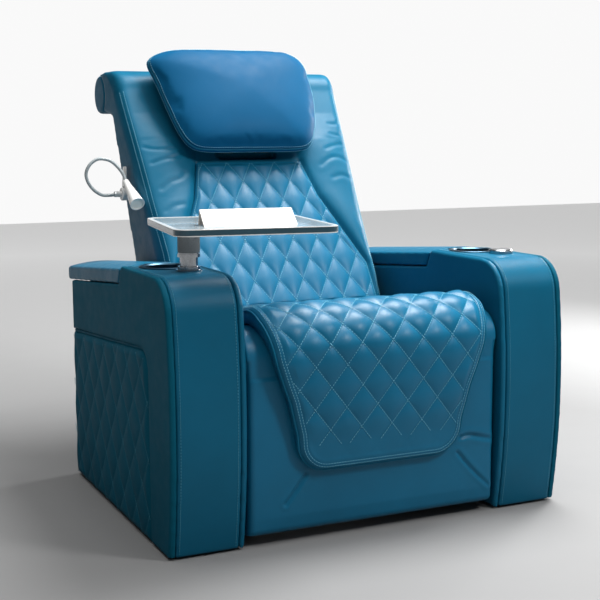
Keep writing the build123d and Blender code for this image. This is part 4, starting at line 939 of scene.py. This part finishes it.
def build_pillow():
    outline = pillow_outline()
    centre = np.array([0.0, PILLOW_U])
    rings = np.sin(np.linspace(0, math.pi / 2, 26))[1:]
    lift = (outline[:, 1] - PILLOW_U) / 160.0
    verts = [on_back(0, PILLOW_U, PILLOW_N + PILLOW_FRONT),
             on_back(0, PILLOW_U, PILLOW_N - PILLOW_REAR)]
    for tall, power in ((PILLOW_FRONT, PILLOW_FRONT_POWER), (-PILLOW_REAR, PILLOW_REAR_POWER)):
        for share in rings:
            plan = centre + (outline - centre) * share
            fall = share ** (power + POWER_RISE * lift)
            n = PILLOW_N + tall * np.sqrt(np.clip(1 - fall, 0, 1))
            verts += list(on_back(plan[:, 0], plan[:, 1], n))
    count = len(outline)
    faces = []
    for half in (0, 1):
        first = 2 + half * len(rings) * count
        for k in range(count):
            m = (k + 1) % count
            loops = [(half, first + k, first + m)]
            for a in range(first, first + (len(rings) - 1) * count, count):
                loops.append((a + k, a + count + k, a + count + m, a + m))
            faces += [loop[::-1] if half else loop for loop in loops]
    piece = mesh_piece("head_cushion", verts, faces)
    face_outward(piece, 0.0002)
    add_remesh(piece, 5.0)
    return freeze(piece)


def pillow_ring(offset):
    """Points and normals round the pillow where its front and rear halves are sewn together."""
    found = Surface(pillow)
    middle = BACK + UP * PILLOW_U + OUT * (PILLOW_N + offset)
    hits = []
    for turn in np.linspace(0, 2 * math.pi, 260, endpoint=False):
        way = np.cos(turn) * np.array([1.0, 0, 0]) + np.sin(turn) * UP
        hits.append(found.ray(middle + way * 500, -way))
    return split(hits)


pillow = build_pillow()
push(pillow, -PILLOW_SLACK)
inflate(pillow, 4.0, 6.0)
add_smoothing(pillow, 3)
freeze(pillow)
subdivide(pillow)
seam, seam_up = pillow_ring(6)
crease(pillow, np.r_[seam, seam[:1]], 3.2, 3.2, 0.8)
dress(pillow, "leather_top", "headrest", ("head_pillow",), "leather_pillow")
pillow_rows = [(p + up * 0.2, up) for p, up in (pillow_ring(13.5), pillow_ring(-1.5))]
stitches("head_cushion_thread", pillow_rows, "headrest")
bead = tube("head_cushion_piping", seam - seam_up * 1.4, 2.4, 8, closed=True)
dress(bead, "leather_top", "headrest", look="leather_body")

# ---------- arms
BAND_SEAMS = (337.0, 463.0)  # thread rows of the front band, from the seat's middle
BAND_TURN = (-240.0, 330.0)  # (y, z) that the rays to its front start round
BAND_REAR = -84.0


def band_rows(band, side):
    """Thread up the front of an arm's band and back along its top."""
    found = Surface(band)
    rows = []
    for across in BAND_SEAMS:
        hits = []
        centre = np.array([side * across, *BAND_TURN])
        for turn in np.linspace(math.radians(-86), math.radians(90), 220):
            way = np.array([0.0, -math.cos(turn), math.sin(turn)])
            hit = found.ray(centre + way * 700, -way)
            if hit and hit[0][2] > 8 and hit[0][1] < BAND_REAR:
                hits.append(hit)
        for y in np.linspace(-232.0, BAND_REAR - 2, 60):
            hits.append(found.ray((side * across, y, 800.0), (0, 0, -1)))
        places, ups = split(hits)
        rows.append((places + ups * 0.3, ups))
    return rows


for name, side in SIDES:
    soft_piece(f"arm_outer_cover_{name}", f"arm_outer_pad_{name}", 4.0, 4, "leather_dark",
               "base")
    band = soft_piece(f"arm_front_cover_{name}", f"arm_front_band_{name}", 4.0, 4,
                      "leather_body", "base")
    stitches(f"arm_front_thread_{name}", band_rows(band, side), "base", "thread_arm")
    soft_piece(f"lid_cushion_{name}", f"lid_pad_{name}", 4.0, 5, "leather_top", f"lid_{name}",
               "leather_body")
soft_piece("arm_inner_covers", "arm_inner_pads", 5.0, 4, "leather_body", "base")
soft_piece("arm_rear_covers", "arm_rear_pads", 5.0, 3, "leather_body", "base")

INSET_FRONT, INSET_REAR, INSET_FOOT = -260.0, 346.0, 5.0
INSET_CORNER = 50.0
INSET_MIDDLE = 43.0
SIDE_X, SIDE_BACK_X = 485.0, 472.0  # front and back of the inset's padding
WELT_X, WELT_RISE, WELT_R = 476.5, 3.4, 5.0
SIDE_THREAD_X = 484.9
side_quilt = Quilt(92.0, 124.0, 20.0, 60.0, 4.2)


def inset_top(y):
    """Upper edge of the side inset, with its round front corner."""
    line = np.interp(y, [INSET_FRONT, INSET_REAR], [422, 375])
    into = INSET_FRONT + INSET_CORNER - y
    drop = INSET_CORNER - np.sqrt(np.clip(INSET_CORNER ** 2 - into ** 2, 0, None))
    return line - np.where(into > 0, drop, 0)


def build_side_quilt(name, side):
    step = 3.2
    rear = INSET_REAR - 0.5
    y = np.r_[INSET_FRONT + 0.4 * np.arange(6), np.arange(INSET_FRONT + 3, rear, step), rear]
    foot = INSET_FOOT + 0.5
    z = foot + (inset_top(y)[:, None] - foot) * np.linspace(0, 1, int(400 / step))
    y2 = np.broadcast_to(y[:, None], z.shape)
    line_y = np.arange(INSET_FRONT, INSET_REAR, 5.0)
    outline = np.r_[[(INSET_FRONT, INSET_FOOT)], np.stack([line_y, inset_top(line_y)], 1),
                    [(INSET_REAR, INSET_FOOT), (INSET_FRONT, INSET_FOOT)]]
    away = edge_distance(y2, z, outline)
    rise = 6.0 * round_over(np.clip(away / 10.0, 0, 1)) - 6.5
    rise = rise + side_quilt.puffs(y2, z) * np.clip((away - 5) / 10.0, 0, 1)
    piece = closed_pad(f"arm_side_cover_{name}", np.stack([side * (SIDE_X + rise), y2, z], -1),
                       np.stack([np.full_like(z, side * SIDE_BACK_X), y2, z], -1))
    dress(piece, "leather_dark", "base", (f"arm_side_quilt_{name}",))
    y = np.arange(INSET_FRONT + 2, INSET_REAR - 1, 4.0)
    welt = np.stack([np.full_like(y, side * WELT_X), y, inset_top(y) + WELT_RISE], -1)
    dress(tube(f"arm_side_welt_{name}", welt, WELT_R, 8), "leather_dark", "base")
    rows = []
    for line in side_quilt.diagonals(8, 420, lambda s: np.full_like(s, 306.0), INSET_MIDDLE):
        for i, j in runs(line[:, 1] < inset_top(line[:, 0]) - 7):
            place = np.insert(line[i:j], 0, side * SIDE_THREAD_X, axis=1)
            rows.append((place, np.broadcast_to((side, 0, 0), place.shape)))
    stitches(f"arm_side_thread_{name}", rows, "base", "thread_dim")


for name, side in SIDES:
    build_side_quilt(name, side)

# ---------- rigid parts
# The headrest bar gets the dark leather look so that it reads as painted shade in the gap under the
# pillow; the menu rest gets its own cream colour.
other_looks = {"headrest_bar": "leather_dark", "menu_rest": "cream"}
for name, node in nodes.items():
    for held in node.material_slots:
        held.material = finish[other_looks.get(name, held.material.name.split(".")[0])]

# lamp: the gooseneck's smooth loop and a small bracket on the back's side
neck_points = [(-340, 402, 718), (-365, 400, 716), (-387, 396, 718), (-408, 392, 731),
               (-423, 389, 750), (-429, 387, 771), (-424, 385, 789), (-412, 384, 803),
               (-394, 382, 811), (-367, 380, 806), (-347, 377, 789), (-335, 371, 770),
               (-331, 362, 752)]
neck = tube("lamp_gooseneck", smooth_path(neck_points, 160), 4.3, 16)
dress(neck, "plastic_grey", "backrest", ("lamp_neck",), look="neck_grey")
bracket_points = [(-326, 386, 735), (-326, 418, 735), (-325, 384, 790), (-325, 408, 790),
                  (-322, 386, 735), (-322, 418, 735), (-321, 384, 790), (-321, 408, 790)]
bracket = mesh_piece("lamp_bracket", bracket_points,
                     [(0, 1, 3, 2), (4, 6, 7, 5), (0, 2, 6, 4), (1, 5, 7, 3), (2, 3, 7, 6),
                      (0, 4, 5, 1)], smooth=False)
bevel = bracket.modifiers.new("Bevel", "BEVEL")
bevel.width = 1.8 * MM
bevel.segments = 3
freeze(bracket)
dress(bracket, "white_gloss", "backrest")

# tray: dark polished edge band, with white lines painted as highlights along its arrises, and the
# knurled grip of its post
TRAY_X, TRAY_Y, TRAY_YAW = -284.0, -289.0, math.radians(-8.7)
TRAY_HALF_X, TRAY_HALF_Y, TRAY_CORNER = 166.0, 178.0, 26.0
CORNER_POINTS = 10


def tray_outline(grow):
    half_x, half_y, r = TRAY_HALF_X + grow, TRAY_HALF_Y + grow, TRAY_CORNER + grow
    c, s = math.cos(TRAY_YAW), math.sin(TRAY_YAW)
    points = []
    for sx, sy, start in ((1, 1, 0), (-1, 1, 90), (-1, -1, 180), (1, -1, 270)):
        for t in np.linspace(math.radians(start), math.radians(start + 90), CORNER_POINTS):
            x = sx * (half_x - r) + r * math.cos(t)
            y = sy * (half_y - r) + r * math.sin(t)
            points.append((TRAY_X + x * c - y * s, TRAY_Y + x * s + y * c))
    return np.array(points)


def ring_faces(loops, ring, closed=False):
    """Faces between loops of points that follow each other."""
    return [(k * ring + i, k * ring + (i + 1) % ring, (k + 1) % loops * ring + (i + 1) % ring,
             (k + 1) % loops * ring + i)
            for k in range(loops if closed else loops - 1) for i in range(ring)]


def tray_edge(name, section, look):
    """A band round the tray's edge: section is (grow, z) points of its closed profile."""
    ring = 4 * CORNER_POINTS
    verts = np.concatenate([np.c_[tray_outline(grow), np.full(ring, z)] for grow, z in section])
    piece = mesh_piece(name, verts, ring_faces(len(section), ring, closed=True), smooth=False)
    dress(piece, "tray_glass", "tray", look=look)


tray_edge("tray_edge_band", [(3.2, 678.5), (4.0, 679.2), (4.0, 688.4), (3.2, 688.9),
                             (-3.5, 688.9), (-3.5, 678.5)], "edge_teal")
# The white upper and lower lines are painted highlights along the edge's arrises.
tray_edge("tray_edge_highlight_upper", [(3.2, 689.0), (3.9, 689.4), (3.6, 690.7), (-4.5, 690.8),
                              (-4.5, 689.0)], "white_gloss")
tray_edge("tray_edge_highlight_lower", [(3.2, 678.4), (3.9, 678.1), (3.6, 676.5), (-3.0, 676.3),
                              (-3.0, 678.4)], "white_gloss")

KNURLS, KNURL_ROWS, KNURL_TWIST = 48, 34, 0.42


def knurl(name, x, y, radius, low, high, body):
    """Crossed ridges round a grip."""
    n = KNURLS * 4
    turns = [2 * math.pi * k / n for k in range(n)]

    def circle(radii, z):
        return [(x + r * math.cos(turn), y + r * math.sin(turn), z)
                for r, turn in zip(radii, turns)]

    verts = []
    for i in range(KNURL_ROWS + 1):
        ends = min(1.0, i / 3, (KNURL_ROWS - i) / 3)
        lean = i * KNURL_TWIST
        waves = [abs(math.sin(KNURLS * turn / 2 + lean)) * abs(math.sin(KNURLS * turn / 2 - lean))
                 for turn in turns]
        verts += circle([radius + ends * (0.2 + 0.9 * wave) for wave in waves],
                        low + (high - low) * i / KNURL_ROWS)
    inner, last = len(verts), KNURL_ROWS * n
    for z in (low, high):
        verts += circle([radius - 2] * n, z)
    faces = ring_faces(KNURL_ROWS + 1, n)
    for k in range(n):
        m = (k + 1) % n
        faces.append((k, inner + k, inner + m, m))
        faces.append((last + m, inner + n + m, inner + n + k, last + k))
        faces.append((inner + k, inner + n + k, inner + n + m, inner + m))
    dress(mesh_piece(name, verts, faces, smooth=False), "plastic_grey", body)


knurl("tray_post_grip", -378.0, -234.0, 23.1, 624.0, 660.0, "tray_post")

# ---------- stage, light and camera
FLOOR_HALF = 9000
# The floor is painted darker near the seat: painted shade.
FLOOR_SHADE_NEAR, FLOOR_FAR = (0.22,) * 3, (0.90,) * 3


def floor_paint():
    """Pale floor with painted shade: darker near the seat where the lamps are strongest."""
    g = Graph("studio_floor")
    away = g.node("ShaderNodeVectorMath", {0: g.place}, operation="LENGTH").outputs["Value"]
    tone = g.ramp(g.span(away, 0.0, 1.0, 1.2, 6.0), FLOOR_SHADE_NEAR, FLOOR_FAR, 0.0, 1.0)
    g.surface(tone, g.span(g.noise(8.0), 0.6, 0.7))
    g.constants(Specular_IOR_Level=0.2)
    return g.material


corners = [(sx * FLOOR_HALF, sy * FLOOR_HALF, 0) for sx, sy in ((-1, -1), (1, -1), (1, 1), (-1, 1))]
floor = mesh_piece("studio_floor", corners, [(0, 1, 2, 3)], smooth=False)
floor.data.materials.append(floor_paint())

# the world: a bright backdrop behind the seat, up to a low edge, and dim elsewhere
BACKDROP_WAY = (0.425, 0.905, 0.0)
DIM, BRIGHT = 0.10, 0.95
world = bpy.data.worlds.new("studio")
bpy.context.scene.world = world
world.use_nodes = True
sky = world.node_tree


def sky_node(kind, inputs, operation=None):
    made = sky.nodes.new(kind)
    if operation:
        made.operation = operation
    for key, value in inputs.items():
        if isinstance(value, bpy.types.NodeSocket):
            sky.links.new(value, made.inputs[key])
        else:
            made.inputs[key].default_value = value
    return made.outputs


def sky_span(value, **ends):
    inputs = {key.replace("_", " "): end for key, end in ends.items()}
    return sky_node("ShaderNodeMapRange", {"Value": value, **inputs})["Result"]


sky_place = sky_node("ShaderNodeTexCoord", {})["Generated"]
toward = sky_node("ShaderNodeVectorMath", {0: sky_place, 1: BACKDROP_WAY}, "DOT_PRODUCT")["Value"]
behind = sky_span(toward, From_Min=0.72, From_Max=0.90)
height = sky_node("ShaderNodeSeparateXYZ", {"Vector": sky_place})["Z"]
below = sky_span(height, From_Min=0.17, From_Max=0.115)
backdrop = sky_node("ShaderNodeMath", {0: behind, 1: below}, "MULTIPLY")["Value"]
strength = sky_span(backdrop, To_Min=DIM, To_Max=BRIGHT)
sky.links.new(strength, sky.nodes["Background"].inputs["Strength"])
sky.nodes["Background"].inputs["Color"].default_value = (1.0, 1.0, 1.0, 1)


def aimed(way):
    return Vector(way).to_track_quat("-Z", "Y").to_euler()


def lamp(name, place, aim, size, power):
    light = bpy.data.lights.new(name, "AREA")
    light.shape = "DISK"
    light.size = size
    light.energy = power
    held = new_object(name, light)
    held.location = place
    held.rotation_euler = aimed(Vector(aim) - Vector(place))


lamp("key", (0.95, 0.20, 3.0), (0, -0.05, 0.5), 1.5, 172)
lamp("glint", (1.20, -2.10, 2.30), (0, -0.35, 0.5), 0.6, 42)
lamp("rim", (2.7, 1.0, 1.5), (0.2, 0.2, 0.7), 0.9, 60)
lamp("fill", (-1.4, -1.6, 2.4), (0, -0.1, 0.5), 1.6, 4)
sun = bpy.data.lights.new("sun", "SUN")
sun.energy = 1.8
sun.angle = math.radians(50)
new_object("sun", sun).rotation_euler = aimed((0.10, 0.12, -1.0))

# the camera's place and angles are solved from points in the photo
CAMERA_PLACE = (-1.25339, -2.65469, 0.88174)
YAW, PITCH, ROLL = 0.439349153, 0.139998731, -0.00358407834
across = Vector((math.cos(YAW), -math.sin(YAW), 0))
forward = Vector((math.sin(YAW) * math.cos(PITCH), math.cos(YAW) * math.cos(PITCH),
                  -math.sin(PITCH)))
upward = across.cross(forward)
axis_x = math.cos(ROLL) * across + math.sin(ROLL) * upward
axis_y = -math.sin(ROLL) * across + math.cos(ROLL) * upward
camera = bpy.data.cameras.new("camera")
camera.sensor_width = 36
camera.lens = 72.24
viewer = new_object("camera", camera)
turned = Matrix((axis_x, axis_y, -forward)).transposed().to_4x4()
viewer.matrix_world = Matrix.Translation(CAMERA_PLACE) @ turned
bpy.context.scene.camera = viewer
bpy.context.scene.view_settings.view_transform = "Standard"
